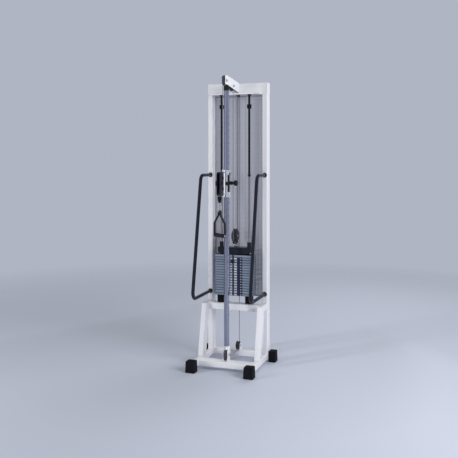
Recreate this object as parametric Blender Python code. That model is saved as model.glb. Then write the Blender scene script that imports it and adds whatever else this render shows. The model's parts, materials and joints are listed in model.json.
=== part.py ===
"""Rehab cable machine: a narrow white column with a weight stack, and a carriage that slides on a round mast.

Metres, +Z up, the floor at Z = 0. The user stands at -Y. X = 0 is the plane of the cable.
"""
import math

import bmesh
import bpy
import numpy as np

# Running and resting gaps
GAP = 0.0003
RUN = 0.0008

# Overall sizes
HEIGHT = 2.200
WIDTH = 0.495
COLUMN_FRONT = 0.180
TUBE_SMALL = 0.040
TUBE_LARGE = 0.080
TUBE_WALL = 0.003
TUBE_ROUND = 0.004

# Base
BASE_LIFT = 0.025
BASE_TUBE = 0.045
FRONT_BEAM_Y = -0.139
REAR_BEAM_Y = 0.215
REAR_BEAM_DEEP = 0.0532
FOOT_HEIGHT = 0.086
FOOT_LONG = 0.073
FOOT_WIDE = 0.075
FOOT_CAP = 0.012
REAR_REACH = 0.0525
REAR_FOOT_PAST = 0.008
FOOT_ROUND = 0.006
SIDE_BEAM_FRONT = -0.250

# Front legs and crossbeam
LEG_TOP = 0.466
LEG_TOP_Y = 0.040
LEG_FOOT_Y = -0.045
STAY_HEIGHT = 0.050
CROSS_TOP = 0.466
CROSS_TALL = 0.050
CROSS_Y = 0.080

# Top beam and the plate that holds the guide rods
BEAM_HEIGHT = 0.085
ROD_PLATE = 0.008
ROD_PLATE_AHEAD = 0.020
SLOT_AHEAD = 0.008
SLOT_CLEAR = 0.009

# Bracket plates over the mast
BRACKET_PLATE = 0.005
BRACKET_CLEAR = 0.005
BRACKET_RISE = 0.040
BRACKET_NOSE = 0.032
BRACKET_DROP = 0.028

# Back panel: a perforated sheet between the uprights
PANEL_LOW = 0.505
PANEL_Y = 0.245
PANEL_SHEET = 0.002

# Mast
MAST_Y = -0.075
MAST_RADIUS = 0.020
MAST_WALL = 0.0025
MAST_LOW = 0.158
MAST_SEAT = 0.004
MAST_DROP = 0.050
SPIGOT = 0.040
SHOE_CLEAR = 0.003
SHOE_CHEEK = 0.005
SHOE_RADIUS = 0.029

# Cable and pulleys
CABLE_RADIUS = 0.0025
CABLE_PAST = 0.012
PULLEY_WIDE = 0.014
LARGE_WIDE = 0.022
PULLEY_BORE = 0.005
PULLEY_LIP = 0.005
GROOVE_CLEAR = 0.0008
PULLEY_TOP = 0.040
PULLEY_BACK = 0.033
PULLEY_FLOAT = 0.056
PULLEY_BLOCK = 0.038
TOP_FRONT_DROP = 0.010
TOP_REAR_DROP = 0.035
CROWN_DROP = 0.082
BASE_REAR_Z = 0.112
BASE_FRONT_Z = 0.1125
DROP_Y = -0.160
FLOAT_Y = 0.1345
BACK_Y = 0.236

CHEEK_CLEAR = 0.002
CHEEK_SHEET = 0.003
CHEEK_HALF = 0.015
CHEEK_PAST = 0.012

# Guide rods and weight stack
ROD_X = 0.115
ROD_Y = 0.1345
ROD_RADIUS = 0.009
STOP_DROP = 0.190
STOP_RADIUS = 0.018
STOP_LONG = 0.034
BUFFER_RADIUS = 0.034
STACK_LOW = 0.530
PLATE_COUNT = 16
PLATE_PITCH = 0.020
PLATE_SEAM = 0.0015
PLATE_HALF = 0.150
PLATE_DEEP = 0.110
PLATE_INSET = 0.002
PLATES_LIFTED = 3
HOLE_RADIUS = 0.0115
SELECTOR_RADIUS = 0.0105
SELECTOR_HOLE = 0.0130
PIN_RADIUS = 0.004
PIN_HOLE = 0.0052
PIN_LONG = 0.062
PIN_KNOB_RADIUS = 0.015
PIN_KNOB_LONG = 0.024
HEAD_TALL = 0.055
HEAD_HALF = 0.135
HEAD_DEEP = 0.080
HEAD_TAPER_LONG = 0.040
HEAD_TAPER_TALL = 0.016
COLLAR_TALL = 0.040
COLLAR_RADIUS = 0.017
FLOAT_RISE = 0.089
YOKE_WIDE = 0.030
YOKE_PAST = 0.014
YOKE_STUD = 0.006
YOKE_SHEET = 0.005
YOKE_DISC = 0.047

# Carriage
SLEEVE_RADIUS = 0.0300
SLEEVE_OVER = 0.006
SLEEVE_UNDER = 0.014
COLLAR_WALL = 0.003
SLEEVE_COLLAR = 0.018
CARRIAGE_Z = 1.417
PULL_REACH = 0.088
PULL_KNOB_RADIUS = 0.021
PULL_KNOB_LONG = 0.033
PULL_SHANK = 0.006

# Swivel block and stirrup handle
BLOCK_PLATE = 0.005
BLOCK_OVER = 0.0045
BLOCK_UNDER = 0.0105
BLOCK_AHEAD = 0.031
BLOCK_BEHIND = 0.022
BLOCK_PULLEY_GAP = 0.002
BLOCK_GAP = 0.018
BLOCK_CORNER = 0.022
BLOCK_KNOB_RADIUS = 0.024
BLOCK_KNOB_LONG = 0.016
LUG_THICK = 0.0115
LUG_REACH = 0.017
LUG_HALF = 0.012
LUG_CLEAR = 0.0035
PULL_BOSS = 0.018
PULL_BOSS_WALL = 0.008
BRIDGE = 0.0037
PIVOT_RADIUS = 0.0070
CABLE_HOLE = 0.0045
HANDLE_TURN = math.radians(-35)
STOPPER_GAP = 0.002
STOPPER_LONG = 0.048
STOPPER_RADIUS = 0.016
HOOK_WIRE = 0.0025
HOOK_HALF = 0.0135
HOOK_ROUND = 0.007
STRAP_TOP = 1.2144
STRAP_WAIST = 1.124
STRAP_NECK = 1.184
STRAP_NECK_HALF = 0.0095
STRAP_TOP_HALF = 0.0090
GRIP_Z = 1.034
GRIP_LONG = 0.108
GRIP_RADIUS = 0.015
STRAP_WIDE = 0.020
STRAP_THICK = 0.005
STRAP_HALF = 0.062
STRAP_BEND = 0.0085
STRAP_PAST = 0.010
STRAP_NARROW = 0.7
AXLE_RADIUS = 0.0045
GRIP_BORE = 0.0055

# Grab bars
BAR_RADIUS = 0.013
BAR_BEND = 0.050
BAR_INSET = 0.020
BAR_TOP_Z = 1.472
BAR_TOP_Y = -0.028
BAR_LOW_Z = 0.537
BAR_LOW_Y = -0.205
FLANGE_RADIUS = 0.0190
FLANGE_THICK = 0.006

# Colours and finishes: red, green, blue, roughness, metallic
FINISHES = {
    "white_paint": (0.83, 0.83, 0.86, 0.35, 0.0),
    "grey_panel": (0.52, 0.51, 0.57, 0.50, 0.3),
    "chrome": (0.60, 0.62, 0.70, 0.15, 1.0),
    "black_rubber": (0.012, 0.012, 0.014, 0.70, 0.0),
    "black_plastic": (0.015, 0.016, 0.02, 0.35, 0.0),
    "black_paint": (0.02, 0.022, 0.035, 0.30, 0.2),
    "weight_steel": (0.26, 0.31, 0.38, 0.35, 0.6),
    "cable_coat": (0.14, 0.145, 0.16, 0.30, 0.0),
    "webbing": (0.012, 0.013, 0.02, 0.80, 0.0),
}


def finish(name):
    """A Principled material of one colour."""
    material = bpy.data.materials.get(name)
    if material is None:
        red, green, blue, rough, metal = FINISHES[name]
        material = bpy.data.materials.new(name)
        material.use_nodes = True
        shader = material.node_tree.nodes["Principled BSDF"]
        shader.inputs["Base Color"].default_value = (red, green, blue, 1)
        shader.inputs["Roughness"].default_value = rough
        shader.inputs["Metallic"].default_value = metal
    return material


def piece(name, verts, faces, look, at=(0, 0, 0), smooth=True):
    """One object whose origin is at the point at; verts are world points."""
    mesh = bpy.data.meshes.new(name)
    local = [(v[0] - at[0], v[1] - at[1], v[2] - at[2]) for v in verts]
    mesh.from_pydata(local, [], faces)
    edit = bmesh.new()
    edit.from_mesh(mesh)
    bmesh.ops.recalc_face_normals(edit, faces=edit.faces)
    edit.to_mesh(mesh)
    edit.free()
    mesh.materials.append(finish(look))
    if smooth:
        mesh.shade_smooth()
        mesh.set_sharp_from_angle(angle=math.radians(35))
    made = bpy.data.objects.new(name, mesh)
    made.location = at
    bpy.context.collection.objects.link(made)
    return made


def rings_mesh(rings, looped=False):
    """Rings of equal length joined by quads, with a cap at each end, or looped back to the first ring."""
    count = len(rings[0])
    verts = [p for ring in rings for p in ring]
    faces = []
    steps = len(rings) if looped else len(rings) - 1
    for i in range(steps):
        a = i * count
        b = ((i + 1) % len(rings)) * count
        for k in range(count):
            m = (k + 1) % count
            faces.append((a + k, a + m, b + m, b + k))
    if not looped:
        faces.append(tuple(range(count))[::-1])
        faces.append(tuple(range((len(rings) - 1) * count, len(rings) * count)))
    return verts, faces


def box(name, low, high, look, at=(0, 0, 0), bevel=0.0):
    """A block between two corners."""
    (x0, y0, z0), (x1, y1, z1) = low, high
    rings = [[(x0, y0, z), (x1, y0, z), (x1, y1, z), (x0, y1, z)] for z in (z0, z1)]
    made = piece(name, *rings_mesh(rings), look, at, smooth=False)
    if bevel:
        add_bevel(made, bevel)
    return made


def add_bevel(made, width, segments=1):
    mod = made.modifiers.new("edges", "BEVEL")
    mod.width = width
    mod.segments = segments
    mod.limit_method = "ANGLE"
    mod.angle_limit = math.radians(50)


def round_rect(half_a, half_b, radius, steps=2):
    """Corner points of a rectangle with round corners, counterclockwise."""
    points = []
    for i, (sa, sb) in enumerate(((1, 1), (-1, 1), (-1, -1), (1, -1))):
        for k in range(steps + 1):
            turn = math.pi / 2 * (i + k / steps)
            points.append((
                sa * (half_a - radius) + radius * math.cos(turn),
                sb * (half_b - radius) + radius * math.sin(turn),
            ))
    return points


def tube_box(name, low, high, axis, look, wall=TUBE_WALL):
    """A rectangular tube with round corners, open at both ends, along the axis 0, 1 or 2."""
    others = [i for i in range(3) if i != axis]
    middle = [(low[i] + high[i]) / 2 for i in range(3)]
    halves = [(high[i] - low[i]) / 2 for i in others]
    outer = round_rect(halves[0], halves[1], TUBE_ROUND)
    inner = round_rect(halves[0] - wall, halves[1] - wall, max(TUBE_ROUND - wall, 0.001))

    def ring(outline, place):
        points = []
        for a, b in outline:
            p = [0, 0, 0]
            p[axis] = place
            p[others[0]] = middle[others[0]] + a
            p[others[1]] = middle[others[1]] + b
            points.append(tuple(p))
        return points

    rings = [ring(outer, low[axis]), ring(outer, high[axis]), ring(inner, high[axis]), ring(inner, low[axis])]
    return piece(name, *rings_mesh(rings, looped=True), look)


def prism(name, outline, x0, x1, look, at=(0, 0, 0)):
    """An outline of (y, z) points carried from x0 to x1."""
    rings = [[(x, y, z) for y, z in outline] for x in (x0, x1)]
    return piece(name, *rings_mesh(rings), look, at)


def turned(name, profile, centre, axis, look, at=None, sides=20, looped=True):
    """A profile of (radius, height) points turned about the axis 0, 1 or 2 through the centre.

    Looped, the profile is a closed outline clear of the axis. Otherwise its first and last rings are capped.
    """
    rings = []
    for radius, height in profile:
        ring = []
        for k in range(sides):
            turn = 2 * math.pi * k / sides
            flat = (radius * math.cos(turn), radius * math.sin(turn))
            p = list(centre)
            p[axis] += height
            p[(axis + 1) % 3] += flat[0]
            p[(axis + 2) % 3] += flat[1]
            ring.append(tuple(p))
        rings.append(ring)
    return piece(name, *rings_mesh(rings, looped=looped), look, at or centre)


def rod(name, radius, low, high, centre, axis, look, at=None, sides=16, edge=0.0):
    """A solid round bar from low to high along the axis."""
    profile = [(radius - edge, low), (radius, low + edge), (radius, high - edge), (radius - edge, high)]
    if not edge:
        profile = [(radius, low), (radius, high)]
    return turned(name, profile, centre, axis, look, at, sides, looped=False)


def pipe(name, radius, bore, low, high, centre, axis, look, at=None, sides=20):
    """A round tube open at both ends."""
    profile = [(radius, low), (radius, high), (bore, high), (bore, low)]
    return turned(name, profile, centre, axis, look, at, sides)


def cut(made, *cutters):
    """Takes the cutters out of a piece."""
    for cutter in cutters:
        cutter.hide_render = True
        cutter.display_type = "WIRE"
        mod = made.modifiers.new("cut", "BOOLEAN")
        mod.operation = "DIFFERENCE"
        mod.solver = "EXACT"
        mod.object = cutter


def join(made, *others):
    """Unites other solids with a piece; the others are guides and aren't built."""
    for other in others:
        other.hide_render = True
        other.display_type = "WIRE"
        mod = made.modifiers.new("join", "BOOLEAN")
        mod.operation = "UNION"
        mod.solver = "EXACT"
        mod.object = other


def swept(name, path, radius, look, at=(0, 0, 0), sides=8):
    """A round bar along a path that lies in one plane of constant X, as (x, y, z) points."""
    points = np.array(path, dtype=float)
    along = np.gradient(points, axis=0)
    along /= np.linalg.norm(along, axis=1)[:, None]
    across = np.array([1.0, 0.0, 0.0])
    rings = []
    for p, t in zip(points, along):
        side = np.cross(t, across)
        side /= np.linalg.norm(side)
        turns = [2 * math.pi * k / sides for k in range(sides)]
        rings.append([tuple(p + radius * (math.cos(a) * across + math.sin(a) * side)) for a in turns])
    return piece(name, *rings_mesh(rings), look, at)


def belt(stops, step=math.radians(15)):
    """Points of a taut line round circles: each stop is (y, z, radius, sense), sense +1 turning left.

    The first and last stops have radius 0. Between two circles the line is their common tangent.
    """
    tangents = []
    for (y1, z1, r1, s1), (y2, z2, r2, s2) in zip(stops, stops[1:]):
        dy, dz = y2 - y1, z2 - z1
        far = math.hypot(dy, dz)
        course = math.atan2(dz, dy) - math.asin((s2 * r2 - s1 * r1) / far)
        ny, nz = -math.sin(course), math.cos(course)
        tangents.append((
            course,
            (y1 - s1 * r1 * ny, z1 - s1 * r1 * nz),
            (y2 - s2 * r2 * ny, z2 - s2 * r2 * nz),
        ))
    points = [tangents[0][1]]
    for i, (y, z, radius, sense) in enumerate(stops[1:-1], start=1):
        start, end = tangents[i - 1][2], tangents[i][1]
        first = math.atan2(start[1] - z, start[0] - y)
        last = math.atan2(end[1] - z, end[0] - y)
        turn = (last - first) * sense % (2 * math.pi)
        count = max(2, round(turn / step))
        for k in range(count + 1):
            angle = first + sense * turn * k / count
            points.append((y + radius * math.cos(angle), z + radius * math.sin(angle)))
    points.append(tangents[-1][2])
    return [(0.0, y, z) for y, z in points]


def tube_run(points, radius, step=math.radians(15)):
    """A run of (y, z) corners whose inner corners are rounded to the radius."""
    out = [points[0]]
    for before, corner, after in zip(points, points[1:], points[2:]):
        a = np.array(before) - corner
        b = np.array(after) - corner
        a = a / np.linalg.norm(a)
        b = b / np.linalg.norm(b)
        half = math.acos(float(a @ b)) / 2
        reach = radius / math.tan(half)
        centre = np.array(corner) + (a + b) / np.linalg.norm(a + b) * radius / math.sin(half)
        start = np.array(corner) + a * reach - centre
        end = np.array(corner) + b * reach - centre
        first = math.atan2(start[1], start[0])
        turn = (math.atan2(end[1], end[0]) - first + math.pi) % (2 * math.pi) - math.pi
        count = max(2, round(abs(turn) / step))
        for k in range(count + 1):
            angle = first + turn * k / count
            out.append((centre[0] + radius * math.cos(angle), centre[1] + radius * math.sin(angle)))
    out.append(points[-1])
    return out


# Sizes that follow from the driving ones
HALF = WIDTH / 2
INNER = HALF - TUBE_SMALL
REAR_BEAM_HALF = HALF + REAR_REACH
REAR_FOOT_HALF = REAR_BEAM_HALF + REAR_FOOT_PAST
BAR_X = HALF - BAR_INSET
COLUMN_BACK = COLUMN_FRONT + TUBE_LARGE
BASE_TOP = BASE_LIFT + BASE_TUBE
BEAM_LOW = HEIGHT - BEAM_HEIGHT
ROD_TOP = BEAM_LOW - ROD_PLATE
REAR_BEAM_BACK = REAR_BEAM_Y + REAR_BEAM_DEEP
MAST_HIGH = HEIGHT - MAST_DROP
TOP_FRONT_Z = HEIGHT - TOP_FRONT_DROP
TOP_REAR_Z = HEIGHT - TOP_REAR_DROP
CROWN_Z = HEIGHT - CROWN_DROP
STOP_Z = HEIGHT - STOP_DROP
STACK_TOP = STACK_LOW + PLATE_COUNT * PLATE_PITCH
HEAD_LOW = STACK_TOP + GAP
HEAD_HIGH = STACK_TOP + HEAD_TALL
COLLAR_HIGH = HEAD_HIGH + COLLAR_TALL
FLOAT_Z = HEAD_HIGH + FLOAT_RISE
PITCH_TOP = PULLEY_TOP - PULLEY_LIP + CABLE_RADIUS
PITCH_BACK = PULLEY_BACK - PULLEY_LIP + CABLE_RADIUS
PITCH_FLOAT = PULLEY_FLOAT - PULLEY_LIP + CABLE_RADIUS
PITCH_BLOCK = PULLEY_BLOCK - PULLEY_LIP + CABLE_RADIUS
TOP_FRONT_Y = DROP_Y + PITCH_TOP
FALL_Y = FLOAT_Y - PITCH_FLOAT
TOP_REAR_Y = FALL_Y - PITCH_TOP
RISE_Y = FLOAT_Y + PITCH_FLOAT
CROWN_Y = (RISE_Y + BACK_Y) / 2
PITCH_CROWN = (BACK_Y - RISE_Y) / 2
CROWN_RADIUS = PITCH_CROWN + PULLEY_LIP - CABLE_RADIUS
BASE_REAR_Y = BACK_Y - PITCH_BACK
LIFT_LINE_Y = MAST_Y - MAST_RADIUS - 0.0175
BASE_FRONT_Y = LIFT_LINE_Y + PITCH_TOP
BLOCK_PULLEY_Y = DROP_Y - PITCH_BLOCK
HANDLE_Y = BLOCK_PULLEY_Y - PITCH_BLOCK
PIN_Z = STACK_TOP - (PLATES_LIFTED - 0.5) * PLATE_PITCH
PLATE_FRONT = ROD_Y - PLATE_DEEP / 2
SLOT_HALF = PULLEY_WIDE / 2 + SLOT_CLEAR
BLOCK_PULLEY_STEP = PULLEY_BLOCK + BLOCK_PULLEY_GAP
TOP_LUG_Z = CARRIAGE_Z + BLOCK_PULLEY_STEP + PULLEY_BLOCK + LUG_CLEAR
LOW_LUG_Z = CARRIAGE_Z - BLOCK_PULLEY_STEP - PULLEY_BLOCK - LUG_CLEAR
SLEEVE_HIGH = TOP_LUG_Z + LUG_THICK + SLEEVE_OVER
SLEEVE_LOW = LOW_LUG_Z - LUG_THICK - SLEEVE_UNDER
BLOCK_HIGH = TOP_LUG_Z + BLOCK_OVER
BLOCK_LOW = LOW_LUG_Z - BLOCK_UNDER
BLOCK_FRONT = HANDLE_Y - BLOCK_AHEAD
BLOCK_BACK = DROP_Y - BLOCK_BEHIND
STOPPER_HIGH = BLOCK_LOW - STOPPER_GAP
STOPPER_LOW = STOPPER_HIGH - STOPPER_LONG


def make_base():
    """The floor frame: a front and a rear beam, two side beams and four rubber feet."""
    front_back = FRONT_BEAM_Y + TUBE_LARGE
    for side, sign in (("left", -1), ("right", 1)):
        xs = sorted((sign * INNER, sign * HALF))
        tube_box(
            f"side_beam_{side}", (xs[0], SIDE_BEAM_FRONT, BASE_LIFT), (xs[1], REAR_BEAM_Y - GAP, BASE_TOP),
            1, "white_paint",
        )
        middle = (xs[0] + xs[1]) / 2
        foot(
            f"foot_front_{side}",
            (middle - FOOT_WIDE / 2, SIDE_BEAM_FRONT - FOOT_CAP, 0),
            (middle + FOOT_WIDE / 2, SIDE_BEAM_FRONT - FOOT_CAP + FOOT_LONG, FOOT_HEIGHT),
            (xs[0] - GAP, SIDE_BEAM_FRONT - GAP, BASE_LIFT - GAP),
            (xs[1] + GAP, SIDE_BEAM_FRONT + FOOT_LONG, BASE_TOP + GAP),
        )
        outside = sorted((sign * (HALF + GAP), sign * REAR_FOOT_HALF))
        pocket = sorted((sign * (HALF - GAP), sign * (REAR_BEAM_HALF + GAP)))
        foot(
            f"foot_rear_{side}",
            (outside[0], REAR_BEAM_Y - 0.010, 0),
            (outside[1], REAR_BEAM_BACK + 0.010, FOOT_HEIGHT),
            (pocket[0], REAR_BEAM_Y - GAP, BASE_LIFT - GAP),
            (pocket[1], REAR_BEAM_BACK + GAP, BASE_TOP + GAP),
        )
    tube_box(
        "front_beam", (-INNER + GAP, FRONT_BEAM_Y, BASE_LIFT), (INNER - GAP, front_back, BASE_TOP),
        0, "white_paint",
    )
    tube_box(
        "rear_beam", (-REAR_BEAM_HALF, REAR_BEAM_Y, BASE_LIFT), (REAR_BEAM_HALF, REAR_BEAM_BACK, BASE_TOP),
        0, "white_paint",
    )


def foot(name, low, high, pocket_low, pocket_high):
    """A rubber block with a pocket for the end of a beam."""
    made = box(name, low, high, "black_rubber", bevel=FOOT_ROUND)
    cut(made, box(f"{name}_pocket", pocket_low, pocket_high, "black_rubber"))


def make_legs():
    """Each leg stands on a side beam, leans back and ends in a stay to the upright."""
    slope = (LEG_TOP_Y - LEG_FOOT_Y) / (LEG_TOP - BASE_TOP)
    low = BASE_TOP + GAP
    back = COLUMN_FRONT - GAP
    stay_low = LEG_TOP - STAY_HEIGHT
    rear_foot = LEG_FOOT_Y + TUBE_LARGE
    outline = [
        (LEG_FOOT_Y, low), (rear_foot, low),
        (rear_foot + slope * (stay_low - low), stay_low),
        (back, stay_low), (back, LEG_TOP), (LEG_TOP_Y, LEG_TOP),
    ]
    wall = TUBE_WALL
    inside = [
        (LEG_FOOT_Y + wall, low - wall), (rear_foot - wall, low - wall),
        (rear_foot - wall + slope * (LEG_TOP - low), LEG_TOP - wall),
        (LEG_TOP_Y + wall, LEG_TOP - wall),
    ]
    for side, sign in (("left", -1), ("right", 1)):
        xs = sorted((sign * INNER, sign * HALF))
        leg = prism(f"leg_{side}", outline, xs[0], xs[1], "white_paint")
        add_bevel(leg, 0.002)
        cut(leg, prism(f"leg_{side}_hollow", inside, xs[0] + wall, xs[1] - wall, "white_paint"))
    tube_box(
        "crossbeam", (-INNER + GAP, CROSS_Y, CROSS_TOP - CROSS_TALL),
        (INNER - GAP, CROSS_Y + TUBE_LARGE, CROSS_TOP), 0, "white_paint",
    )


def make_column():
    """Two uprights, the channel across their tops, the rod plate and the back panel."""
    for side, sign in (("left", -1), ("right", 1)):
        xs = sorted((sign * INNER, sign * HALF))
        tube_box(
            f"upright_{side}", (xs[0], COLUMN_FRONT, BASE_TOP + GAP), (xs[1], COLUMN_BACK, BEAM_LOW - GAP),
            2, "white_paint",
        )
    beam = box("top_beam", (-HALF, COLUMN_FRONT, BEAM_LOW), (HALF, COLUMN_BACK, HEIGHT), "white_paint")
    hollow = box(
        "top_beam_hollow",
        (-HALF + TUBE_WALL, COLUMN_FRONT + TUBE_WALL, BEAM_LOW - TUBE_WALL),
        (HALF - TUBE_WALL, COLUMN_BACK - TUBE_WALL, HEIGHT - TUBE_WALL), "white_paint",
    )
    cut(beam, hollow)
    plate = box(
        "rod_plate", (-INNER + GAP, ROD_Y - ROD_PLATE_AHEAD, ROD_TOP),
        (INNER - GAP, COLUMN_BACK - 0.001, BEAM_LOW + 0.001), "white_paint",
    )
    join(beam, plate)
    cut(beam, box(
        "rod_plate_slot", (-SLOT_HALF, COLUMN_FRONT - SLOT_AHEAD, ROD_TOP - 0.010),
        (SLOT_HALF, COLUMN_BACK - TUBE_WALL, BEAM_LOW + 0.010), "white_paint",
    ))
    box(
        "back_panel", (-INNER + GAP, PANEL_Y, PANEL_LOW),
        (INNER - GAP, PANEL_Y + PANEL_SHEET, ROD_TOP - GAP), "grey_panel",
    )


def make_bracket():
    """Two plates that carry the top pulleys out over the mast, with the axles on the left plate."""
    inner = PULLEY_WIDE / 2 + BRACKET_CLEAR
    outer = inner + BRACKET_PLATE
    back = COLUMN_FRONT - GAP
    nose = DROP_Y + 0.010
    brow = TOP_FRONT_Z + BRACKET_RISE
    outline = [
        (nose, TOP_FRONT_Z - BRACKET_DROP), (nose, TOP_FRONT_Z + BRACKET_NOSE), (nose + 0.012, brow),
        (nose + 0.060, brow), (back, HEIGHT), (back, BEAM_LOW + 0.010),
        (MAST_Y - 0.010, MAST_HIGH + MAST_SEAT + 0.005),
    ]
    axles = ((TOP_FRONT_Y, TOP_FRONT_Z), (TOP_REAR_Y, TOP_REAR_Z))
    left = prism("bracket_plate_left", outline, -outer, -inner, "white_paint")
    right = prism("bracket_plate_right", outline, inner, outer, "white_paint")
    for i, (y, z) in enumerate(axles):
        join(left, rod(f"axle_{i}", PULLEY_BORE - GAP, -outer + 0.001, outer + 0.003, (0, y, z), 0, "chrome"))
        cut(right, rod(f"axle_hole_{i}", PULLEY_BORE, inner - 0.001, outer + 0.001, (0, y, z), 0, "chrome"))


def pulley(name, radius, centre, wide=PULLEY_WIDE):
    """A grooved wheel on an X axle: its groove narrows to the floor that the cable runs on."""
    half, bore = wide / 2, PULLEY_BORE
    floor = radius - PULLEY_LIP - GROOVE_CLEAR
    profile = [
        (bore, -half), (radius - 0.0005, -half), (radius, -half + 0.0005), (radius, -half + 0.0020),
        (floor, -0.0032), (floor, 0.0032), (radius, half - 0.0020), (radius, half - 0.0005),
        (radius - 0.0005, half), (bore, half),
    ]
    return turned(name, profile, centre, 0, "black_plastic", sides=24)


def make_frame_pulleys():
    """The five pulleys that turn on the frame."""
    pulley("pulley_top_front", PULLEY_TOP, (0, TOP_FRONT_Y, TOP_FRONT_Z))
    pulley("pulley_top_rear", PULLEY_TOP, (0, TOP_REAR_Y, TOP_REAR_Z))
    pulley("pulley_crown", CROWN_RADIUS, (0, CROWN_Y, CROWN_Z))
    pulley("pulley_base_rear", PULLEY_BACK, (0, BASE_REAR_Y, BASE_REAR_Z), LARGE_WIDE)
    pulley("pulley_base_front", PULLEY_TOP, (0, BASE_FRONT_Y, BASE_FRONT_Z), LARGE_WIDE)


def cheeks(name, y, z, low, high, inner, thick, front, back, look):
    """Two upright cheeks beside a pulley with its axle between them: one piece of a bracket."""
    made = box(name, (-inner - thick, front, low), (-inner, back, high), look)
    join(
        made,
        box(f"{name}_cheek", (inner, front, low), (inner + thick, back, high), look),
        rod(f"{name}_axle", PULLEY_BORE - GAP, -inner - thick / 2, inner + thick / 2, (0, y, z), 0, look),
    )
    return made


def make_pulley_brackets():
    """The crown bracket inside the top beam and the rear bracket on the base."""
    inner = PULLEY_WIDE / 2 + CHEEK_CLEAR
    sheet = CHEEK_SHEET
    roof = HEIGHT - TUBE_WALL - GAP
    front, back = CROWN_Y - CHEEK_HALF, CROWN_Y + CHEEK_HALF
    crown = cheeks(
        "crown_bracket", CROWN_Y, CROWN_Z, CROWN_Z - CHEEK_PAST, roof, inner, sheet, front, back, "black_paint",
    )
    join(crown, box(
        "crown_bracket_roof", (-inner - sheet, front, roof - sheet), (inner + sheet, back, roof), "black_paint",
    ))
    inner = LARGE_WIDE / 2 + CHEEK_CLEAR
    cheeks(
        "base_rear_bracket", BASE_REAR_Y, BASE_REAR_Z, BASE_TOP + GAP, BASE_REAR_Z + CHEEK_PAST, inner, sheet,
        BASE_REAR_Y - 0.010, REAR_BEAM_Y + 0.030, "white_paint",
    )


def make_mast():
    """The mast, the shoe it stands in over the front pulley, and the head that joins it to the bracket."""
    centre = (0, MAST_Y, 0)
    bore = MAST_RADIUS - MAST_WALL
    pipe("mast", MAST_RADIUS, bore, MAST_LOW, MAST_HIGH, centre, 2, "chrome", (0, MAST_Y, MAST_LOW), sides=28)
    inner = LARGE_WIDE / 2 + SHOE_CLEAR
    seat_low = MAST_LOW - GAP - MAST_SEAT
    shoe = cheeks(
        "mast_shoe", BASE_FRONT_Y, BASE_FRONT_Z, BASE_TOP + GAP, seat_low + 0.001, inner, SHOE_CHEEK,
        BASE_FRONT_Y - SHOE_RADIUS, BASE_FRONT_Y + SHOE_RADIUS, "white_paint",
    )
    join(
        shoe,
        rod("mast_shoe_seat", SHOE_RADIUS, seat_low, MAST_LOW - GAP, centre, 2, "white_paint", sides=24),
        rod("mast_shoe_spigot", bore - GAP, seat_low, MAST_LOW + SPIGOT, centre, 2, "white_paint", sides=24),
    )
    seat = MAST_HIGH + GAP
    head = rod("mast_head", MAST_RADIUS, seat, seat + MAST_SEAT, centre, 2, "black_plastic", sides=24)
    plate_inner = PULLEY_WIDE / 2 + BRACKET_CLEAR - GAP
    join(
        head,
        rod("mast_head_spigot", bore - GAP, MAST_HIGH - SPIGOT, MAST_HIGH + 0.002, centre, 2, "black_plastic"),
        box(
            "mast_head_tongue", (-plate_inner, MAST_Y - 0.004, MAST_HIGH + 0.002),
            (plate_inner, MAST_Y + 0.016, MAST_HIGH + 0.035), "black_plastic",
        ),
    )


def make_guides():
    """Guide rods with their rubber stops above and buffers below."""
    for side, sign in (("left", -1), ("right", 1)):
        centre = (sign * ROD_X, ROD_Y, 0)
        rod(f"guide_rod_{side}", ROD_RADIUS, CROSS_TOP + GAP, ROD_TOP - GAP, centre, 2, "chrome", sides=16)
        pipe(
            f"rod_stop_{side}", STOP_RADIUS, ROD_RADIUS + GAP, STOP_Z - STOP_LONG / 2, STOP_Z + STOP_LONG / 2,
            centre, 2, "black_rubber", sides=16,
        )
        pipe(
            f"buffer_{side}", BUFFER_RADIUS, ROD_RADIUS + GAP, CROSS_TOP + GAP, STACK_LOW - GAP,
            centre, 2, "black_rubber", sides=16,
        )


def plates(name, first, last):
    """Weight plates first to last, counted from below, which lie on each other with a groove between."""
    rings = []
    front, back = PLATE_FRONT, PLATE_FRONT + PLATE_DEEP
    low, high = STACK_LOW + first * PLATE_PITCH, STACK_LOW + last * PLATE_PITCH
    for i in range(first, last):
        z0 = STACK_LOW + i * PLATE_PITCH
        z1 = z0 + PLATE_PITCH
        levels = [(z0, PLATE_INSET), (z0 + PLATE_SEAM, 0), (z1 - PLATE_SEAM, 0), (z1, PLATE_INSET)]
        for z, inset in levels if i == first else levels[1:]:
            x = PLATE_HALF - inset
            z = min(max(z, low + GAP), high - GAP)
            y0, y1 = front + inset, back - inset
            rings.append([(-x, y0, z), (x, y0, z), (x, y1, z), (-x, y1, z)])
    made = piece(name, *rings_mesh(rings), "weight_steel", smooth=False)
    for x, radius in ((-ROD_X, HOLE_RADIUS), (0, SELECTOR_HOLE), (ROD_X, HOLE_RADIUS)):
        hole = rod(f"{name}_hole", radius, low - 0.01, high + 0.01, (x, ROD_Y, 0), 2, "weight_steel", sides=14)
        cut(made, hole)
    for i in range(first, last):
        z = STACK_LOW + (i + 0.5) * PLATE_PITCH
        cut(made, rod(
            f"{name}_pin_hole", PIN_HOLE, PLATE_FRONT - 0.01, ROD_Y, (0, 0, z), 1, "weight_steel", sides=8,
        ))


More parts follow.
